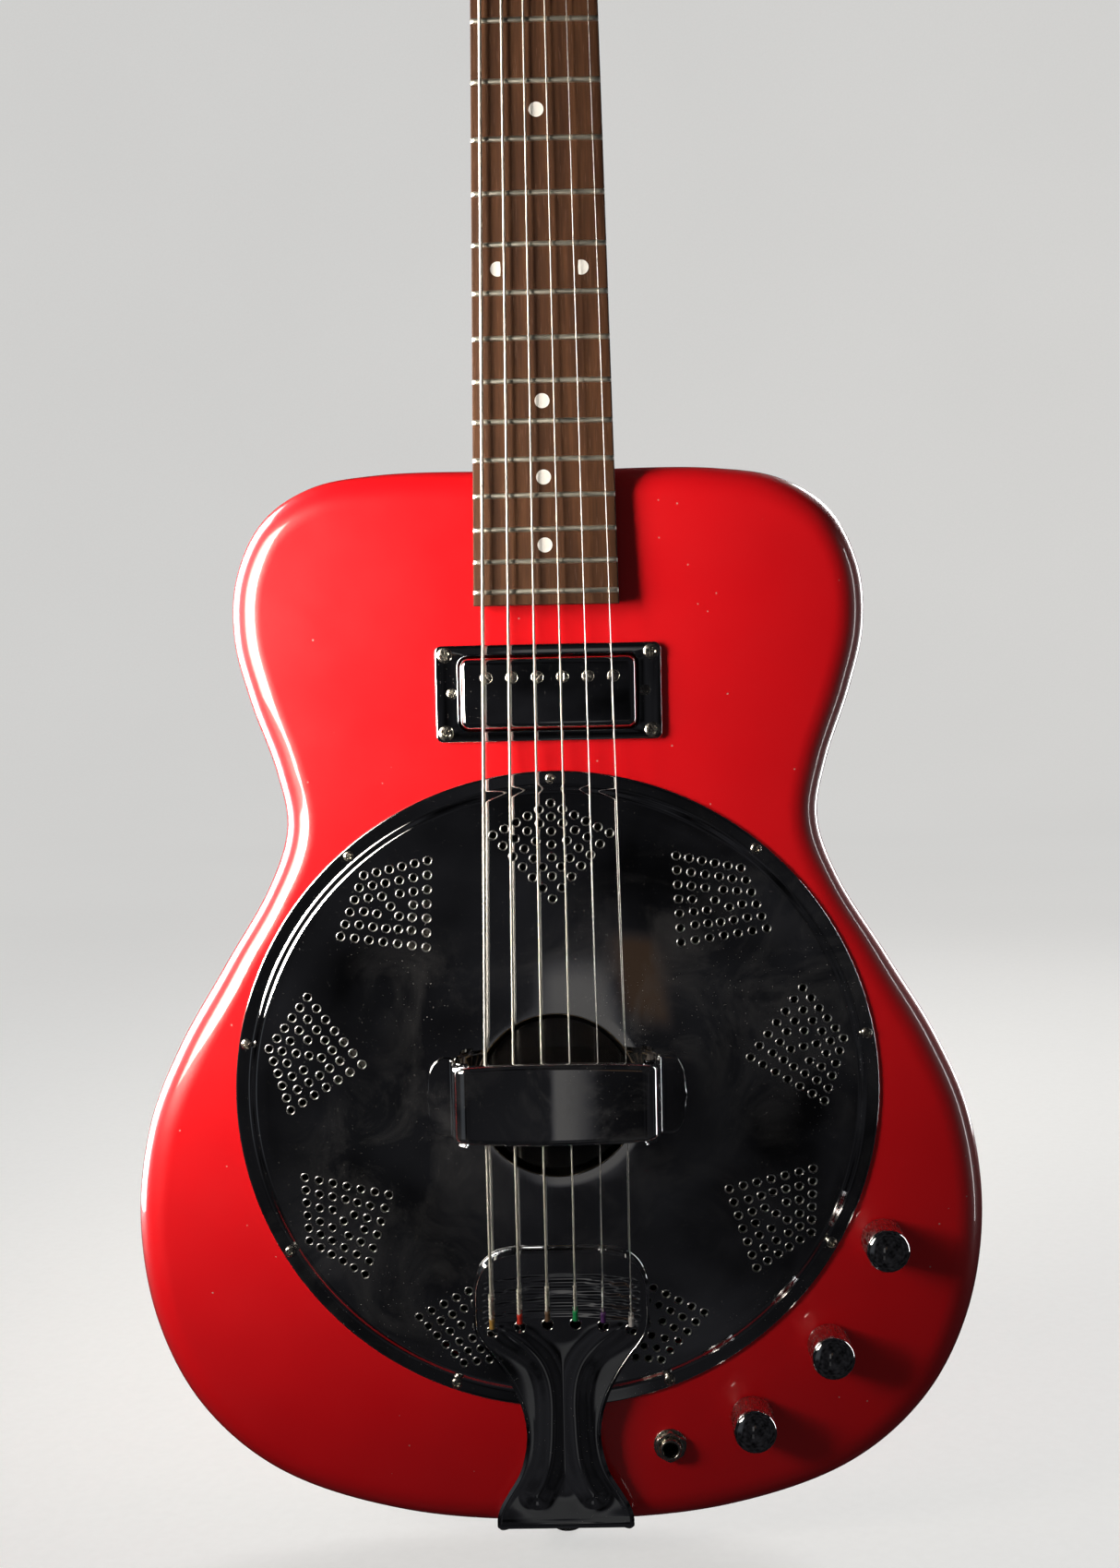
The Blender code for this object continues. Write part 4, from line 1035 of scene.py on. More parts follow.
def make_hand_rest():
    """A formed cover: a crowned top with soft corners, two legs and two oval feet."""
    low, high = face_box("hand_rest")
    foot_z = low.z + 1.5 * MM
    top = high.z
    end = high.x
    leg = 42.0 * MM
    foot_start = 45.4 * MM
    foot_half = 16.4 * MM
    foot_power = 2.6
    leg_half = 13.6 * MM
    corners = [
        (-end, foot_z),
        (-leg - 0.5 * MM, foot_z, 1.6 * MM),
        (-leg, top - 0.7 * MM, 7.0 * MM),
        (0, top - 0.05 * MM, 300 * MM),
        (leg, top - 0.7 * MM, 7.0 * MM),
        (leg + 0.5 * MM, foot_z, 1.6 * MM),
        (end, foot_z),
    ]
    place, stops, total = path_map(corners, 1.0 * MM)

    def half_width(x, z):
        if z < foot_z + 0.8 * MM:
            share = min(abs(abs(x) - foot_start) / (end - foot_start), 0.9995)
            return foot_half * (1 - share**foot_power) ** (1 / foot_power)
        top_half = 15.6 * MM + 1.4 * MM * max(1 - (x / leg) ** 2, 0.0)
        lift = smooth_step(z, foot_z + 0.8 * MM, foot_z + 4 * MM)
        return top_half * lift + leg_half * (1 - lift)

    def surface(u, v):
        at_u, normal = place(u)
        half = half_width(at_u.x, at_u.y)
        edge = half * max(1 - abs(v), 0.0)
        roll = 0.9 * MM + 1.7 * MM * smooth_step(at_u.y, foot_z + 2 * MM, top - 3 * MM)
        roll = min(roll, half)
        drop = roll - math.sqrt(max(roll * roll - max(roll - edge, 0.0) ** 2, 0.0))
        flat = at_u - normal * drop
        return Vector((flat.x, half * v, flat.y))

    across = [math.sin(math.pi / 2 * k / 20) for k in range(-20, 21)]
    points, faces = grid_map(stops, across)
    sheet("hand_rest_fine", points, faces, surface, 1.3 * MM, "chrome", ("hand_rest",))


# Tailpiece

# Along the middle, in millimetres: (y, height, half width). Some figures are a scratch script's, unchanged.
TAIL_STATIONS = (
    (-65.0, 9.8, 15.5), (-65.5, 9.8, 20.5), (-66.9, 9.8, 26.0), (-71.3, 9.8, 31.8), (-78.5, 9.8, 34.9),
    (-88.0, 9.8, 35.4), (-95.0, 9.8, 35.2), (-99.0, 9.8, 34.2), (-103.0, 9.8, 31.9),
    (-108.0, 9.7, 28.0), (-117.0, 9.4, 22.0), (-126.5, 8.9, 17.5), (-135.0, 8.4, 15.1),
    (-143.4, 8.0, 14.3), (-152.0, 7.6, 15.4), (-160.5, 7.2, 18.0), (-168.8, 6.9, 22.9),
    (-174.4, 6.7, 26.0), (-178.5, 6.5, 27.3), (-181.6, 6.4, 27.5), (-182.7, 5.8, 27.5), (-183.7, 4.4, 27.5),
    (-186.1, 0.2, 27.4), (-188.3, -4.0, 26.2), (-189.7, -8.5, 23.8), (-190.4, -14.0, 20.5),
    (-190.5, -22.0, 16.5), (-190.5, -41.0, 12.0), (-190.5, -44.6, 10.0), (-190.5, -46.0, 6.0),
)
# The right arm's ridge on the face, in millimetres
TAIL_ARM = ((24.0, -96.5), (21.2, -99.5), (14.5, -104.5), (8.9, -111.0), (5.8, -119.0), (4.7, -128.0),
            (4.8, -138.0), (5.3, -148.0), (6.4, -156.0), (8.9, -163.5), (12.0, -169.0))


def tail_hole_place(i):
    share = string_share(i)
    return share * SADDLE_SPREAD, TAIL_HOLE_Y - TAIL_HOLE_DROP * share * share


def distance_to_path(x, y, path):
    here = Vector((x, y))
    best = 1.0
    for a, b in zip(path, path[1:]):
        run = b - a
        share = min(max((here - a).dot(run) / run.length_squared, 0.0), 1.0)
        best = min(best, (here - a - run * share).length)
    return best


def make_tailpiece():
    stations = catmull_rom([Vector(s) * MM for s in TAIL_STATIONS], 5, closed=False)
    lengths = [0.0]
    for a, b in zip(stations, stations[1:]):
        lengths.append(lengths[-1] - (b.xy - a.xy).length)
    arm = catmull_rom([Vector(p) * MM for p in TAIL_ARM], 4, closed=False)

    def station(length):
        k = 0
        while k < len(lengths) - 2 and lengths[k + 1] > length:
            k += 1
        share = (length - lengths[k]) / (lengths[k + 1] - lengths[k])
        run = (stations[k + 1].xy - stations[k].xy).normalized()
        return stations[k].lerp(stations[k + 1], share), Vector((run.y, -run.x)) * -1

    def relief(x, y, half):
        """Ridges: arcs above the holes, two arms that meet in the stem, and a pad at the foot."""
        above = y - TAIL_HOLE_Y + 2.4 * MM * (x / SADDLE_SPREAD) ** 2
        height = 0.0
        if above > 0:
            fade = smooth_step(above, 2.5 * MM, 4.7 * MM) * smooth_step(22 * MM - above, 0.0, 2 * MM)
            wave = 0.5 - 0.5 * math.cos(TURN * (above - 2.3 * MM) / (4.9 * MM))
            side = smooth_step(half - abs(x), 2.0 * MM, 6.0 * MM)
            height += 0.24 * MM * fade * side * smooth_step(wave, 0.15, 0.85)
        reach = distance_to_path(abs(x), y, arm)
        height += 0.7 * MM * math.exp(-((reach / (4.6 * MM)) ** 2)) * smooth_step(-y, 93 * MM, 98 * MM)
        pad = math.hypot(x / (15 * MM), (y + 170.5 * MM) / (7.5 * MM))
        height += 0.5 * MM * math.exp(-(pad**2))
        return height * smooth_step(half - abs(x), 0.6 * MM, 3.0 * MM)

    def surface(u, v):
        here, normal = station(v)
        half = here.z
        lift = relief(u, here.x, half) if here.x > -181 * MM else 0.0
        edge = max(half - abs(u), 0.0)
        roll = 0.45 * MM
        lift -= roll - math.sqrt(max(roll * roll - max(roll - edge, 0.0) ** 2, 0.0))
        return Vector((u, here.x + normal.x * lift, here.y + normal.y * lift))

    right = [(s.z, length) for s, length in zip(stations, lengths)]
    outline = [(x, v) for x, v in reversed(right)] + [(-x, v) for x, v in right]
    holes = []
    for i in range(6):
        x, y = tail_hole_place(i)
        middle = min(range(len(stations)), key=lambda k: abs(stations[k].x - y))
        v = lengths[middle] + (y - stations[middle].x)
        holes.append(circle(TAIL_HOLE_R, 28, (x, v)))
    centres = [Vector(hole[0]) - Vector((TAIL_HOLE_R, 0)) for hole in holes]
    fill = []
    even_rows = {-k * 0.9 * MM for k in range(1, int(-lengths[-1] / 0.9 / MM))}
    rows = sorted({round(v, 6) for v in lengths} | even_rows)
    for row in rows[1:-1]:
        half = station(row)[0].z
        count = max(3, round(half / (0.8 * MM)))
        shares = [k / count for k in range(count)] + [1 - 0.35 * MM / half]
        for share in shares:
            for x in {share * half, -share * half}:
                place = Vector((x, row))
                if all((c - place).length > TAIL_HOLE_R + 0.25 * MM for c in centres):
                    fill.append(place)
    points, faces = punched_map([outline], holes, fill)
    sheet("tailpiece_fine", points, faces, surface, 1.4 * MM, "chrome", ("tailpiece",))
    bm = bmesh.new()
    for centre in centres:
        spot = surface(centre.x, centre.y)
        add_torus(bm, TAIL_HOLE_R + 0.15 * MM, 0.32 * MM, Matrix.Translation(spot), 32, 10)
    piece("tailpiece_lips", bm, "chrome_trim", "chrome", sharp=180)


# Fittings

def make_strap_buttons():
    low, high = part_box("end_pin")
    button = mm(
        (0, 41.0),
        (6.5, 41.0, 1.1),
        (6.5, 38.5, 0.8),
        (4.2, 36.0, 2.0),
        (3.8, 31.5, 1.2),
        (6.2, 29.4, 0.3),
        (6.2, 28.8),
        (2.6, 28.8),
        (2.6, 1.2),
        (0, 0),
    )
    place = Matrix.Translation(((low.x + high.x) / 2, (low.y + high.y) / 2, high.z))
    place = place @ Matrix.Rotation(math.pi, 4, "X")
    turned_piece("end_pin_fine", button, 48, place, "nickel", "chrome", plane=WORLD, replaces=("end_pin",))
    low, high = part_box("heel_strap_button")
    heel = mm(
        (0, 10.0),
        (1.6, 10.0, 0.2),
        (2.4, 9.2, 0.3),
        (3.2, 10.0, 0.3),
        (6.5, 10.0, 1.1),
        (6.5, 7.6, 0.8),
        (3.9, 5.4, 2.0),
        (4.6, 0.0),
        (0, 0),
    )
    place = Matrix.Translation(((low.x + high.x) / 2, low.y, (low.z + high.z) / 2))
    place = place @ Matrix.Rotation(-math.pi / 2, 4, "X")
    turned_piece("heel_strap_button_fine", heel, 48, place, "nickel", "chrome", plane=WORLD,
                 replaces=("heel_strap_button",))


def make_pickup():
    low, high = face_box("pickup_ring")
    half_x = high.x
    half_y = (high.y - low.y) / 2
    inner = ((36.6 * MM, 15.1 * MM, 4.0 * MM), (36.9 * MM, 15.4 * MM, 4.2 * MM))
    corner = 2.8 * MM
    edge = 0.6 * MM
    levels = [(rounded_rectangle(half_x, half_y, corner), low.z)]
    for aside, down in quarter(5):
        inset = edge * aside
        shape = rounded_rectangle(half_x - inset, half_y - inset, corner - inset)
        levels.append((shape, high.z - edge * down))
    levels.append((rounded_rectangle(half_x - 1.0 * MM, half_y - 1.0 * MM, 1.8 * MM), high.z))
    levels.append((rounded_rectangle(37.3 * MM, 15.8 * MM, 4.4 * MM), high.z))
    levels.append((rounded_rectangle(37.1 * MM, 15.6 * MM, 4.3 * MM), high.z - 0.1 * MM))
    levels.append((rounded_rectangle(*inner[1]), high.z - 0.5 * MM))
    levels.append((rounded_rectangle(*inner[0]), high.z - 1.3 * MM))
    levels.append((rounded_rectangle(*inner[0]), low.z))
    bm = bmesh.new()
    loops = [[(x, y + PICKUP_Y, z) for x, y in outline] for outline, z in levels]
    add_loft(bm, loops, ring=True)
    piece("pickup_ring_fine", bm, "chrome", "chrome", replaces=("pickup_ring",))
    cover_x = PICKUP_HIGH.x
    cover_y = (PICKUP_HIGH.y - PICKUP_LOW.y) / 2
    bm = bmesh.new()

    def cover_outline(inset):
        shape = rounded_rectangle(cover_x - inset, cover_y - inset, 3.6 * MM - inset)
        return [(x, y + PICKUP_Y) for x, y in shape]

    add_slab(bm, cover_outline, PICKUP_LOW.z, PICKUP_HIGH.z, 2.6 * MM, steps=10)
    piece("pickup_cover", bm, "chrome", "chrome", replaces=("pickup",))
    bm = bmesh.new()
    for i in range(6):
        x = 0.9 * MM + string_share(i) * 25.75 * MM
        place = at(x, PICKUP_Y + 6.3 * MM, PICKUP_HIGH.z + 0.02 * MM, 0.7 + 0.8 * i)
        add_screw_head(bm, 2.1 * MM, 0.25 * MM, place, "slot", 0.25 * MM)
        add_torus(bm, 2.35 * MM, 0.22 * MM, at(x, PICKUP_Y + 6.3 * MM, PICKUP_HIGH.z), 32, 8)
    piece("pole_screws", bm, "nickel", "nickel")
    bm = bmesh.new()
    for i, (sx, sy) in enumerate(((-1, 1), (1, 1), (-1, -1), (1, -1))):
        place = at(sx * 42.1 * MM, PICKUP_Y + sy * 15.9 * MM, high.z + 0.02 * MM, 0.4 + 1.1 * i)
        add_screw_head(bm, 3.1 * MM, 1.1 * MM, place)
    for i, side in enumerate((-1, 1)):
        place = at(side * 39.4 * MM, PICKUP_Y + 0.2 * MM, high.z + 0.02 * MM, 0.2 + 0.9 * i)
        add_screw_head(bm, 2.2 * MM, 0.9 * MM, place)
    piece("pickup_ring_screws", bm, "nickel", "nickel")


KNURLS = 56
KNURL_ROWS = 7
KNURL_DEPTH = 0.26 * MM


def make_knobs():
    """A knob: a thin foot ring, a knurled barrel and a polished dome."""
    for which in KNOBS:
        low, high = face_box("knob_" + which)
        centre = at(*middle_on_face("knob_" + which))
        radius = (high.x - low.x) / 2
        crown = high.z - 4.2 * MM
        bm = bmesh.new()
        rows = 30
        count = 224
        loops = []
        for row in range(rows + 1):
            share = row / rows
            height = low.z + 1.5 * MM + (crown - low.z - 1.5 * MM) * share
            fade = min(1.0, 12 * share, 12 * (1 - share))
            loop = []
            for i in range(count):
                angle = TURN * i / count
                first = abs((angle * KNURLS / TURN + share * KNURL_ROWS) % 1.0 - 0.5)
                second = abs((angle * KNURLS / TURN - share * KNURL_ROWS) % 1.0 - 0.5)
                cut = KNURL_DEPTH * fade * (1 - min(1.0, 2.6 * min(0.5 - first, 0.5 - second)))
                reach = radius - 0.12 * MM - cut
                loop.append(around(reach, angle, height))
            loops.append(loop)
        add_loft(bm, loops, centre)
        piece("knob_barrel_" + which, bm, "knurl", "chrome", body="control_" + which, sharp=180)
        bm = bmesh.new()
        dome = [(0, crown), (radius - 0.35 * MM, crown), (radius - 0.35 * MM, crown + 0.25 * MM)]
        for k in range(15):
            turn = math.pi / 2 * k / 15
            height = crown + 0.6 * MM + (high.z - crown - 0.6 * MM) * math.sin(turn)
            dome.append((radius * math.cos(turn), height))
        dome.append((0, high.z))
        add_turned(bm, dome, 96, centre)
        foot = (
            (3.1 * MM, low.z),
            (radius - 0.1 * MM, low.z, 0.3 * MM),
            (radius - 0.1 * MM, low.z + 1.5 * MM, 0.4 * MM),
            (3.1 * MM, low.z + 1.5 * MM),
        )
        add_turned(bm, foot, 96, centre, ring=True)
        piece("knob_cap_" + which, bm, "polished", "chrome", body="control_" + which,
              replaces=("knob_" + which,), sharp=60)


def make_jack():
    """The socket's threaded sleeve, with its washer and a chamfered hexagon nut."""
    place = at(*middle_on_face("jack_nut"))
    low, high = face_box("jack_socket")
    sleeve_r = 4.5 * MM
    bore_r = 3.2 * MM
    profile = (
        (0, -28.0 * MM),
        (bore_r, -28.0 * MM),
        (bore_r, high.z, 0.55 * MM),
        (sleeve_r - 0.1 * MM, high.z, 0.5 * MM),
        (sleeve_r - 0.1 * MM, -3.4 * MM),
        (7.0 * MM, -3.4 * MM),
        (7.0 * MM, low.z),
        (0, low.z),
    )
    turned_piece("jack_sleeve", profile, 64, place, "nickel", "nickel", replaces=("jack_socket",))
    low, high = face_box("jack_nut")
    count = 96
    flats = 5.75 * MM
    corner = flats / math.cos(math.pi / 6)

    def hexagon(height, limit):
        loop = []
        for i in range(count):
            angle = TURN * i / count
            within = (angle + math.pi / 6) % (math.pi / 3) - math.pi / 6
            loop.append(around(min(flats / math.cos(within), limit), angle, height))
        return loop

    inner = sleeve_r + 0.1 * MM
    washer_top = 0.95 * MM
    loops = [[(x, y, washer_top) for x, y in circle(inner, count)]]
    for step in range(5):
        share = step / 4
        loops.append(hexagon(washer_top + 0.5 * MM * share, corner - 0.6 * MM * (1 - share) ** 2))
    for step in range(5):
        share = step / 4
        loops.append(hexagon(high.z - 0.6 * MM * (1 - share), corner - 0.85 * MM * share**2))
    loops.append([(x, y, high.z) for x, y in circle(inner + 0.35 * MM, count)])
    loops.append([(x, y, high.z - 0.3 * MM) for x, y in circle(inner, count)])
    bm = bmesh.new()
    add_loft(bm, loops, place, ring=True)
    washer = (
        (inner, low.z),
        (6.9 * MM, low.z, 0.15 * MM),
        (6.9 * MM, washer_top - 0.05 * MM, 0.25 * MM),
        (inner, washer_top - 0.05 * MM),
    )
    add_turned(bm, washer, count, place, ring=True)
    piece("jack_nut_and_washer", bm, "nickel", "nickel", replaces=("jack_nut",), sharp=25)


# Neck

def board_half(y):
    return BOARD_HALF_NUT + (BOARD_HALF_END - BOARD_HALF_NUT) * (-y / BOARD_END)


def camber(x):
    return -x * x / (2 * BOARD_CAMBER)


def fret_y(number):
    return -SCALE_LENGTH * (1 - 2 ** (-number / 12))


def make_fretboard():
    """A cambered board with eased edges, its frets, and its inlaid dots."""
    bm = bmesh.new()
    loops = []
    ease = 0.7 * MM
    for step in range(61):
        y = -GAP - (BOARD_END - GAP) * step / 60
        half = board_half(y)
        shape = [(-half, -BOARD_THICK), (-half, camber(half) - 2 * ease)]
        shape += [(-half + ease * aside, camber(half) - ease * down) for aside, down in quarter(4)]
        for k in range(1, 16):
            x = -half + ease + 2 * (half - ease) * k / 16
            shape.append((x, camber(x)))
        shape += [(-x, z) for x, z in reversed(shape[:7])]
        loops.append([(x, y, z) for x, z in shape])
    add_loft(bm, loops)
    piece("fretboard_wood", bm, "rosewood", "rosewood", plane=NECK, replaces=("fretboard",), sharp=50)
    bm = bmesh.new()
    for number in range(1, FRETS + 1):
        y = fret_y(number)
        half = board_half(y) - 0.1 * MM
        loops = []
        for share in (-1, -0.985, -0.965, -0.94, *[k / 8 for k in range(-7, 8)], 0.94, 0.965, 0.985, 1):
            x = share * half
            end = min(1.0, (half - abs(x)) / (1.5 * MM))
            rise = 1.0 * MM * (0.25 + 0.75 * math.sin(math.pi / 2 * end))
            section = []
            for k in range(13):
                turn = math.pi * k / 12
                section.append((x, y - FRET_HALF * math.cos(turn), camber(x) + rise * math.sin(turn) ** 0.8))
            section += [(x, y + FRET_HALF, camber(x) - 0.5 * MM), (x, y - FRET_HALF, camber(x) - 0.5 * MM)]
            loops.append(section)
        add_loft(bm, loops)
    piece("frets", bm, "fret", "nickel", plane=NECK, sharp=45)
    bm = bmesh.new()
    for number in DOTTED_FRETS:
        y = (fret_y(number) + fret_y(number - 1)) / 2
        for x in ((-16.8 * MM, 16.8 * MM) if number == 12 else (0.0,)):
            profile = mm((0, -1.0), (3.0, -1.0), (3.0, 0.04), (0, 0.05))
            add_turned(bm, profile, 48, at(x, y, camber(x)))
    piece("inlay_dots", bm, "pearl", "white_binding", plane=NECK)


HEEL_START = 0.330
HEEL_END = 0.370
HEEL_DEPTH = 42.0 * MM


def neck_depth(y):
    share = min(max(-y / HEEL_START, 0.0), 1.0)
    depth = (15.0 + 3.0 * share) * MM
    return depth + (HEEL_DEPTH - depth) * smooth_step(-y, HEEL_START, HEEL_END)


def make_neck():
    """The shaft: rounded sections that deepen into the heel, then run on under the end of the board."""
    bm = bmesh.new()
    top = -BOARD_THICK + 0.02 * MM
    loops = []
    ys = [6 * MM - 4 * MM * k for k in range(84)]
    ys += [-HEEL_START - 2 * MM * k for k in range(1, 36)] + [-0.4070, -0.4480]
    for y in ys:
        depth = neck_depth(y) if y > -0.404 else 30 * MM
        half = board_half(min(y, 0.0))
        loop = []
        for step in range(49):
            turn = math.pi * step / 48
            loop.append((half * math.cos(turn), y, top - depth * math.sin(turn) ** 0.9))
        loops.append(loop)
    add_loft(bm, loops)
    piece("neck_shaft", bm, "neck", "neck_wood", plane=NECK, replaces=("neck",), sharp=60)


def head_outline():
    half = mm(
        (22.2, -6),
        (22.2, 4, 9),
        (35.5, 21, 9),
        (36.2, 34, 30),
        (34.4, 160, 9),
        (12.0, 169, 30),
        (0, 172),
    )
    right = [Vector(p) for p in filleted(half, 10)]
    left = [Vector((-p.x, p.y)) for p in reversed(right[:-1])]
    loop = []
    for a, b in zip(right + left, (right + left)[1:] + right[:1]):
        parts = max(1, round((b - a).length / (3 * MM)))
        loop += [a.lerp(b, k / parts) for k in range(parts)]
    return loop


def make_headstock():
    outline = head_outline()
    bm = bmesh.new()
    add_slab(bm, lambda inset: offset_outline(outline, inset), -HEAD_THICK, -1.0 * MM, 0.3 * MM, 2.0 * MM)
    piece("headstock", bm, "neck", "neck_wood", plane=HEAD, sharp=50)
    bm = bmesh.new()
    add_slab(bm, lambda inset: offset_outline(outline, inset + 0.05 * MM), -1.0 * MM, 0.0, 0.5 * MM)
    piece("headstock_veneer", bm, "black", "black_wood", plane=HEAD, sharp=50)
    rod = mm(
        (-7, 7),
        (7, 7, 1.5),
        (9, 14, 6),
        (2.5, 30, 2.4),
        (-2.5, 30, 2.4),
        (-9, 14, 6),
        (-7, 7, 1.5),
        (7, 7),
    )
    cover = filleted(rod, 8)[1:-1]
    bm = bmesh.new()
    add_slab(bm, lambda inset: offset_outline(cover, inset), 0.0, 1.2 * MM, 0.3 * MM)
    piece("truss_rod_cover", bm, "black", "black_wood", plane=HEAD, sharp=50)
    bm = bmesh.new()
    for x, y in ((-5.2 * MM, 10.2 * MM), (5.2 * MM, 10.2 * MM), (0.0, 26.5 * MM)):
        add_screw_head(bm, 1.4 * MM, 0.6 * MM, at(x, y, 1.15 * MM, 0.5), skirt=0.15 * MM)
    piece("truss_cover_screws", bm, "nickel", "nickel", plane=HEAD)


def make_nut():
    """A bone nut: a rounded top with a slot for each string."""
    half = BOARD_HALF_NUT - 0.2 * MM
    bm = bmesh.new()
    add_notched_bar(bm, half, -BOARD_THICK, NUT_TOP + 0.6 * MM, (0.0, NUT_THICK), NUT_SPREAD,
                    (0.12 * MM, 1.0 * MM, 1.2 * MM), 0.7, [NUT_TOP] * 6)
    piece("nut_fine", bm, "bone", "bone", plane=NECK, replaces=("nut",), bevel=0.18 * MM)


# Tuners

def post_places():
    left = [(-POST_X, y) for y in POST_YS]
    right = [(POST_X, y) for y in reversed(POST_YS)]
    return left + right


def make_tuner_plate(name, side):
    """A plate for three tuners, with a pair of ears for each worm shaft and screws between."""
    top = -HEAD_THICK - 0.02 * MM
    bottom = top - PLATE_THICK
    middle_y = POST_YS[1] - 4 * MM
    bm = bmesh.new()

    def outline(inset):
        shape = rounded_rectangle(8.5 * MM - inset, 60 * MM - inset, 4 * MM - inset)
        return [(x + side * POST_X, y + middle_y) for x, y in shape]

    add_slab(bm, outline, bottom, top, 0.0001 * MM, 0.4 * MM)
    for y in POST_YS:
        place = y - WORM_OFFSET
        for offset in (-5.6 * MM, 5.6 * MM):
            x = side * POST_X + offset
            loops = []
            for edge in (-0.9 * MM, 0.9 * MM):
                ear = [(3.1 * MM, bottom + 0.3 * MM)]
                for k in range(13):
                    turn = -math.pi * k / 12
                    ear.append((3.0 * MM * math.cos(turn), SHAFT_Z + 2.8 * MM * math.sin(turn)))
                ear.append((-3.1 * MM, bottom + 0.3 * MM))
                loops.append([(x + edge, place + along, z) for along, z in ear])
            add_loft(bm, loops)
    for y in (POST_YS[0] + 9 * MM, POST_YS[1] + 9 * MM, POST_YS[1] - 27 * MM, POST_YS[2] + 9 * MM):
        if abs(y - middle_y) < 57 * MM:
            face_down = at(side * POST_X, y, bottom) @ Matrix.Rotation(math.pi, 4, "X")
            add_screw_head(bm, 2.2 * MM, 0.8 * MM, face_down, skirt=0.1 * MM)
    piece(name + "_fine", bm, "nickel", "nickel", plane=HEAD, replaces=(name,))


TOOTH_DEPTH = 1.1 * MM
TOOTH_POINTS = 8
TEETH = 14
WORM_HALF = 3.7
WORM_PITCH = 2.46 * MM


def add_gear(bm, matrix, low, high):
    count = TEETH * TOOTH_POINTS
    loops = []
    for height, shrink in ((low, 0.5 * MM), (low + 0.4 * MM, 0.0), (high - 0.4 * MM, 0.0), (high, 0.5 * MM)):
        loop = []
        for i in range(count):
            wave = math.cos(TURN * i / TOOTH_POINTS)
            tooth = smooth_step(wave, -0.5, 0.5)
            reach = GEAR_R - shrink - TOOTH_DEPTH * (1 - tooth)
            loop.append(around(reach, TURN * i / count, height))
        loops.append(loop)
    add_loft(bm, loops, matrix)


def make_tuner(i):
    x, y = post_places()[i]
    side = 1 if x > 0 else -1
    number = str(i + 1)
    gear_top = -HEAD_THICK - 2 * GAP - PLATE_THICK
    gear_low = gear_top - 3.2 * MM
    post = (
        (0, POST_TOP),
        (POST_R, POST_TOP, 0.8 * MM),
        (POST_R, WRAP_Z + 3.4 * MM, 0.4 * MM),
        (POST_R - 0.5 * MM, WRAP_Z + 1.6 * MM, 0.8 * MM),
        (POST_R - 0.5 * MM, WRAP_Z - 3.4 * MM, 0.8 * MM),
        (POST_R, WRAP_Z - 4.8 * MM, 0.4 * MM),
        (POST_R, gear_top),
        (POST_R, gear_low - 0.1 * MM),
        (1.6 * MM, gear_low - 0.5 * MM, 0.3 * MM),
        (0, gear_low - 0.5 * MM),
    )
    bm = bmesh.new()
    place = at(x, y)
    add_turned(bm, post, 40, place)
    add_gear(bm, place, gear_low, gear_top)
    body = "tuner_post_" + number
    piece("post_and_gear_" + number, bm, "nickel", "nickel", body=body, plane=HEAD, replaces=(body,))
    lay = at(x, y - WORM_OFFSET, SHAFT_Z) @ Matrix.Rotation(side * math.pi / 2, 4, "Y")
    bm = bmesh.new()
    shaft = (
        (0, -7.5 * MM),
        (SHAFT_R, -7.5 * MM, 0.3 * MM),
        (SHAFT_R, 17.2 * MM),
        (2.6 * MM, 17.8 * MM, 0.4 * MM),
        (2.6 * MM, 18.8 * MM, 0.4 * MM),
        (1.9 * MM, 19.4 * MM),
        (1.9 * MM, 22.0 * MM),
        (0, 22.0 * MM),
    )
    add_turned(bm, shaft, 28, lay)
    loops = []
    for row in range(49):
        height = (-WORM_HALF + 2 * WORM_HALF * row / 48) * MM
        loop = []
        for k in range(28):
            angle = TURN * k / 28
            thread = 0.5 + 0.5 * math.cos(TURN * (height / WORM_PITCH) - angle)
            fade = smooth_step(WORM_HALF * MM - abs(height), 0.0, 0.6 * MM)
            reach = SHAFT_R + 0.05 * MM + (WORM_R - SHAFT_R) * fade * smooth_step(thread, 0.2, 0.8)
            loop.append(around(reach, angle, height))
        loops.append(loop)
    add_loft(bm, loops, lay)
    body = "tuner_button_" + number
    piece("worm_shaft_" + number, bm, "nickel", "nickel", body=body, plane=HEAD)
    bm = bmesh.new()
    button = mm(
        (0, 19.2),
        (2.7, 19.2, 0.6),
        (3.4, 20.6, 1.0),
        (7.7, 23.8, 2.4),
        (7.7, 30.2, 3.0),
        (4.6, 33.5, 3.0),
        (0, 33.5),
    )
    add_turned(bm, button, 48)
    for vert in bm.verts:
        flat = smooth_step(vert.co.z, 20.0 * MM, 24.0 * MM)
        vert.co.y *= 1 - 0.52 * flat
    bmesh.ops.transform(bm, matrix=lay @ Matrix.Rotation(math.pi / 2, 4, "Z"), verts=bm.verts)
    piece("button_" + number, bm, "button", "button_plastic", body=body, plane=HEAD, replaces=(body,))


def make_tuners():
    make_tuner_plate("tuner_plate_bass", -1)
    make_tuner_plate("tuner_plate_treble", 1)
    for i in range(6):
        make_tuner(i)
    bm = bmesh.new()
    for x, y in post_places():
        bushing = (
            (POST_R + 0.15 * MM, -0.5 * MM),
            (4.9 * MM, -0.5 * MM),
            (4.9 * MM, 0.5 * MM, 0.3 * MM),
            (3.9 * MM, 1.1 * MM, 0.5 * MM),
            (POST_R + 0.15 * MM, 1.1 * MM, 0.2 * MM),
        )
        add_turned(bm, bushing, 48, at(x, y), ring=True)
    piece("post_bushings", bm, "nickel", "nickel", plane=HEAD)


# Strings

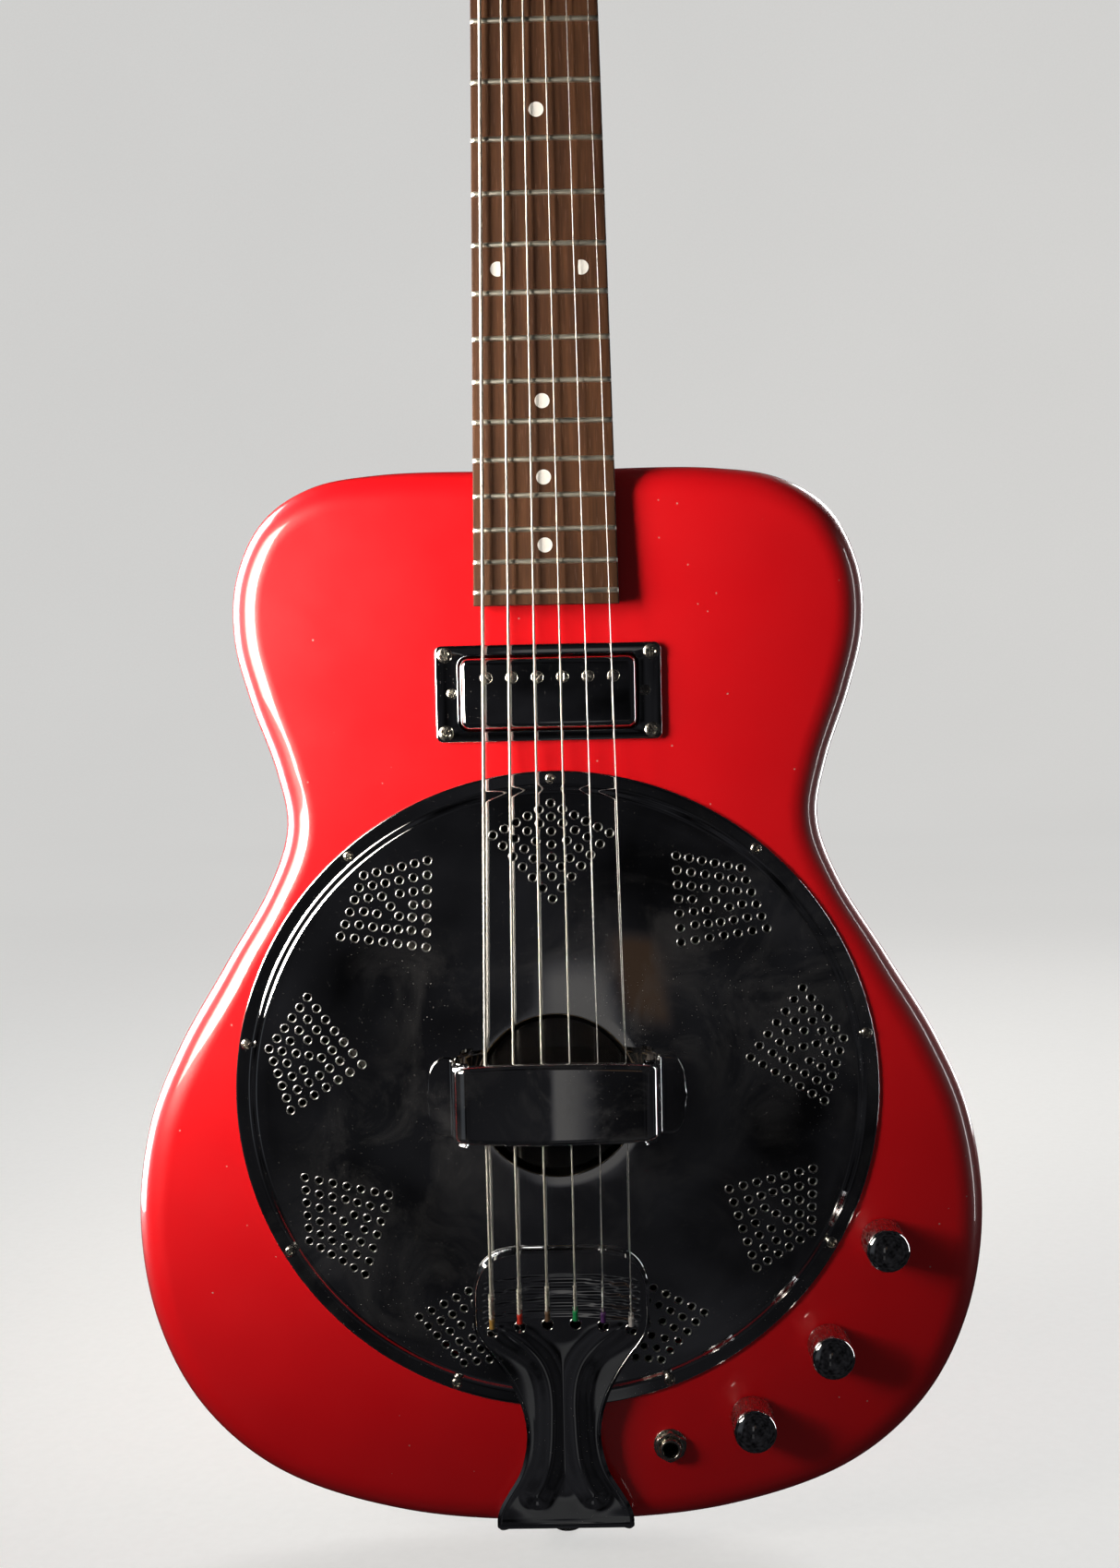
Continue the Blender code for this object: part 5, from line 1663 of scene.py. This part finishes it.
def string_route(i):
    """From the ball end over the saddle and the nut, then round the post, in world coordinates."""
    share = string_share(i)
    radius = STRING_DIAMETERS[i] / 2
    hole_x, hole_y = tail_hole_place(i)
    lift = TAIL_TOP_Z + 1.0 * MM + radius
    on_face = [(hole_x, hole_y + 2.6 * MM, lift), (share * SADDLE_SPREAD, SADDLE_Y, STRING_AT_SADDLE_Z)]
    over_nut = NUT_TOP + radius + 0.1 * MM
    on_neck = [(share * NUT_SPREAD, 0.0, over_nut), (share * NUT_SPREAD, NUT_THICK + GAP, over_nut)]
    x, y = post_places()[i]
    side = 1 if x > 0 else -1
    reach = POST_R - 0.5 * MM + radius
    on_head = []
    for step in range(49):
        turn = math.radians(20) * step
        px = x - side * reach * math.cos(turn)
        py = y + reach * math.sin(turn)
        on_head.append((px, py, WRAP_Z + 0.4 * MM - STRING_DIAMETERS[i] * 1.05 * step / 18))
    route = [FACE @ Vector(p) for p in on_face]
    route += [NECK @ Vector(p) for p in on_neck]
    route += [HEAD @ Vector(p) for p in on_head]
    return route


def add_tube(bm, route, radius, sides=12):
    """A round tube along a polyline."""
    loops = []
    for k, point in enumerate(route):
        run = (route[min(k + 1, len(route) - 1)] - route[max(k - 1, 0)]).normalized()
        frame_x = run.cross(Vector((0.3, 1, 0.1))).normalized()
        frame_y = run.cross(frame_x)
        loop = []
        for side in range(sides):
            angle = TURN * side / sides
            loop.append(point + (frame_x * math.cos(angle) + frame_y * math.sin(angle)) * radius)
        loops.append(loop)
    add_loft(bm, loops)


BALLS = {
    "ball_brass": (0.52, 0.30, 0.07),
    "ball_red": (0.62, 0.03, 0.015),
    "ball_bronze": (0.16, 0.09, 0.05),
    "ball_green": (0.01, 0.30, 0.09),
    "ball_purple": (0.10, 0.03, 0.16),
    "ball_silver": (0.60, 0.58, 0.56),
}


TWIST_START = 3.8
TWIST_LENGTH = 10.7
TWIST_PITCH = 3.1 * MM


def make_strings():
    """Each string, with the twist that locks its ball end and the ball itself."""
    for i, diameter in enumerate(STRING_DIAMETERS):
        bm = bmesh.new()
        route = string_route(i)
        add_tube(bm, route, diameter / 2)
        kind = "wound" if i < WOUND_STRINGS else "plain"
        run = (route[1] - route[0]).normalized()
        side = run.cross(Vector((0, 1, 0))).normalized()
        up = side.cross(run)
        strand = min(0.30 * MM, diameter * 0.30)
        reach = diameter / 2 + strand * 0.7
        for phase in (0.0, math.pi):
            helix = []
            for step in range(73):
                along = (TWIST_START + TWIST_LENGTH * step / 72) * MM
                turn = phase + TURN * along / TWIST_PITCH
                helix.append(route[0] + run * along + (side * math.cos(turn) + up * math.sin(turn)) * reach)
            add_tube(bm, helix, strand, 7)
        number = str(i + 1)
        piece("string_fine_" + number, bm, kind, kind + "_string", plane=WORLD,
              replaces=("string_" + number,), sharp=80)
        bm = bmesh.new()
        ball = mm(
            (0, -2.2),
            (1.25, -2.2, 0.4),
            (0.95, 0.0, 2.0),
            (1.25, 2.0, 0.4),
            (0, 2.0),
        )
        lay = Matrix.Translation(route[0] + run * 2.0 * MM - up * 0.5 * MM)
        add_turned(bm, ball, 28, lay @ run.to_track_quat("Z", "Y").to_matrix().to_4x4())
        name = list(BALLS)[i]
        piece(name, bm, name, "nickel", plane=WORLD)


# Stage

CAMERA_PLACE = (13.6 * MM, -790.4 * MM, 172.2 * MM)
CAMERA_TURN = (86.52, 1.207, 0.687)
CAMERA_LENS = 40.92
CAMERA_SENSOR = 36.0

# name, place, aim, size, watts, beam in degrees, whether it lights surfaces, colour
WHITE = (1, 1, 1)
LIGHTS = (
    ("key", (-0.478, -0.323, 0.282), (-0.300, -0.060, 0.273), (0.315, 0.462), 4.5, 82.6,
     True, (1.0, 0.91, 0.80)),
    ("side_box", (-0.75, 0.27, 0.30), (-0.17, -0.03, 0.20), (0.50, 1.10), 20.0, 180.0, False, WHITE),
    ("rim_strip", (0.75, 0.70, 0.22), (0.17, -0.03, 0.15), (0.26, 0.80), 4.2, 180.0, False, WHITE),
    ("leg_strip", (0.85, -0.05, 0.10), (0.05, -0.08, 0.0), (0.05, 0.80), 0.9, 180.0, False, WHITE),
    ("rear", (1.3, 2.2, 1.5), (0.0, 0.0, 0.3), (1.0, 1.0), 9.0, 70.0, True, WHITE),
)
# Soft-edged cards seen only as reflections: middle and half size across and up, brightness, colour
CARDS = (
    (0.003, -0.58, 0.088, 0.25, 0.080, (1.0, 0.96, 0.92)),
    (0.198, -0.34, 0.072, 0.15, 0.030, (1.0, 0.62, 0.40)),
    (0.0, -1.40, 0.10, 0.20, 0.030, (1.0, 1.0, 1.0)),
    (-1.95, 0.10, 0.48, 1.10, 0.040, (0.85, 0.92, 1.0)),
)
CARD_DOME_R = 3.0
FLOOR_REACH = 3.4
COVE_R = 1.4
WALL_TOP = 3.6
CEILING_RISE = 2.0
SURROUND_COUNT = 96


def add_light(name, place, aim, size, power, beam, lights_surfaces, colour):
    light = bpy.data.lights.new(name, "AREA")
    light.shape = "RECTANGLE"
    light.size = size[0]
    light.size_y = size[1]
    light.energy = power
    light.color = colour
    light.spread = math.radians(beam)
    obj = bpy.data.objects.new(name, light)
    bpy.context.scene.collection.objects.link(obj)
    obj.location = place
    direction = Vector(aim) - Vector(place)
    obj.rotation_euler = direction.to_track_quat("-Z", "Y").to_euler()
    obj.visible_camera = False
    obj.visible_diffuse = lights_surfaces


def backdrop_paint(tree, shader):
    """Pale painted paper: faint clouding and fibres."""
    cloud = noise(tree, places(tree), 1.5, 4.0)
    fibre = noise(tree, places(tree), 220.0, 3.0)
    tone = blend(tree, spread(tree, cloud, 0.3, 0.7), (0.715, 0.71, 0.695), (0.73, 0.725, 0.71))
    tone = blend(tree, spread(tree, fibre, 0.3, 0.9, 0.0, 0.25), tone, (0.62, 0.615, 0.60))
    wire(tree, shader, Base_Color=blend(tree, 0.55, tone, (0.1, 0.1, 0.1)), Roughness=0.8)
    wire(tree, shader, Specular_IOR_Level=0.0, Emission_Color=tone, Emission_Strength=0.85)


def make_surround(name, profile, paint):
    """A turned surface round the instrument that lights nothing and casts no shadow."""
    bm = bmesh.new()
    add_turned(bm, profile, SURROUND_COUNT)
    bmesh.ops.recalc_face_normals(bm, faces=bm.faces)
    mesh = bpy.data.meshes.new(name)
    bm.to_mesh(mesh)
    bm.free()
    mesh.shade_smooth()
    surround = bpy.data.objects.new(name, mesh)
    bpy.context.scene.collection.objects.link(surround)
    mesh.materials.append(material(name, paint))
    surround.visible_diffuse = False
    surround.visible_shadow = False
    return surround


def make_backdrop():
    """Pale floor, cove, wall and ceiling in one sweep. Reflections don't see it: they see the card dome."""
    low = cad_box[0].z
    profile = [(0.0, low), (0.6, low), (1.6, low), (FLOOR_REACH, low)]
    for k in range(1, 13):
        turn = math.pi / 2 * k / 12
        profile.append((FLOOR_REACH + COVE_R * math.sin(turn), low + COVE_R * (1 - math.cos(turn))))
    for k in range(13):
        turn = math.pi / 2 * k / 12
        profile.append(((FLOOR_REACH + COVE_R) * math.cos(turn), WALL_TOP + CEILING_RISE * math.sin(turn)))
    profile[-1] = (0.0, WALL_TOP + CEILING_RISE)
    backdrop = make_surround("backdrop", profile, backdrop_paint)
    backdrop.visible_glossy = False


def card_paint(tree, shader):
    """A near-black surround with faint clouding and soft-edged cards in front of the instrument."""
    vector = places(tree)
    place = add(tree, "SeparateXYZ", {"Vector": vector})
    glow = spread(tree, noise(tree, vector, 1.8, 4.0), 0.35, 0.75, 0.002, 0.02)
    colour = blend(tree, glow, (0.9, 0.9, 1.0), (1.0, 0.95, 0.9))
    front = spread(tree, place.outputs["Y"], -0.3, -0.6)
    for across, up, half_across, half_up, bright, tone in CARDS:
        aside = reckon(tree, "ABSOLUTE", reckon(tree, "SUBTRACT", place.outputs["X"], across), 0.0)
        above = reckon(tree, "ABSOLUTE", reckon(tree, "SUBTRACT", place.outputs["Z"], up), 0.0)
        mask = reckon(tree, "MULTIPLY", spread(tree, aside, half_across * 1.3, half_across * 0.7),
                      spread(tree, above, half_up * 1.2, half_up * 0.8))
        mask = reckon(tree, "MULTIPLY", mask, front)
        glow = reckon(tree, "ADD", glow, reckon(tree, "MULTIPLY", mask, bright))
        colour = blend(tree, mask, colour, tone)
    paper = blend(tree, noise(tree, vector, 5.0), (0.0, 0.0, 0.0), (0.0004, 0.0004, 0.0004))
    wire(tree, shader, Base_Color=paper, Roughness=0.9, Specular_IOR_Level=0.0)
    wire(tree, shader, Emission_Color=colour, Emission_Strength=glow)


def make_card_dome():
    """The surround that polished metal mirrors; nothing else sees it."""
    profile = []
    for k in range(25):
        turn = math.pi * k / 24
        profile.append((CARD_DOME_R * math.sin(turn), -CARD_DOME_R * math.cos(turn)))
    profile[0] = (0.0, -CARD_DOME_R)
    profile[-1] = (0.0, CARD_DOME_R)
    dome = make_surround("card_dome", profile, card_paint)
    dome.visible_camera = False
    dome.visible_transmission = False


def make_stage():
    camera_data = bpy.data.cameras.new("camera")
    camera_data.lens = CAMERA_LENS
    camera_data.sensor_width = CAMERA_SENSOR
    camera = bpy.data.objects.new("camera", camera_data)
    bpy.context.scene.collection.objects.link(camera)
    camera.location = CAMERA_PLACE
    camera.rotation_euler = [math.radians(a) for a in CAMERA_TURN]
    bpy.context.scene.camera = camera
    make_backdrop()
    make_card_dome()
    world = bpy.data.worlds.new("studio")
    bpy.context.scene.world = world
    world.use_nodes = True
    background = world.node_tree.nodes["Background"]
    background.inputs["Color"].default_value = (0.80, 0.82, 0.86, 1.0)
    background.inputs["Strength"].default_value = 0.08
    world.cycles_visibility.glossy = False
    bpy.context.scene.view_settings.view_transform = "Standard"
    for light in LIGHTS:
        add_light(*light)


def dress_frame_nodes():
    """The CAD nodes that stay in view through the openings get their finishes."""
    # The cone, the sound well and the pot shafts take the darkened aluminium, painted shade for the inside
    # of the body
    looks = {
        "sound_well": "aluminium",
        "resonator_cone": "aluminium",
        "neck_block": "block",
        "tail_block": "block",
    }
    for which in KNOBS:
        looks["pot_" + which] = "steel"
        looks["pot_shaft_" + which] = "aluminium"
    for node, look in looks.items():
        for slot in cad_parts[node].material_slots:
            slot.material = LOOKS[look]


def main():
    for name, colour in BALLS.items():
        LOOKS[name] = material(name, moulded(colour, 0.3, tuple(c * 0.7 for c in colour), 0.3))
    dress_frame_nodes()
    make_body()
    make_cover()
    make_cover_screws()
    make_biscuit()
    make_saddle()
    make_hand_rest()
    make_tailpiece()
    make_strap_buttons()
    make_pickup()
    make_knobs()
    make_jack()
    make_fretboard()
    make_neck()
    make_headstock()
    make_nut()
    make_tuners()
    make_strings()
    make_stage()


main()
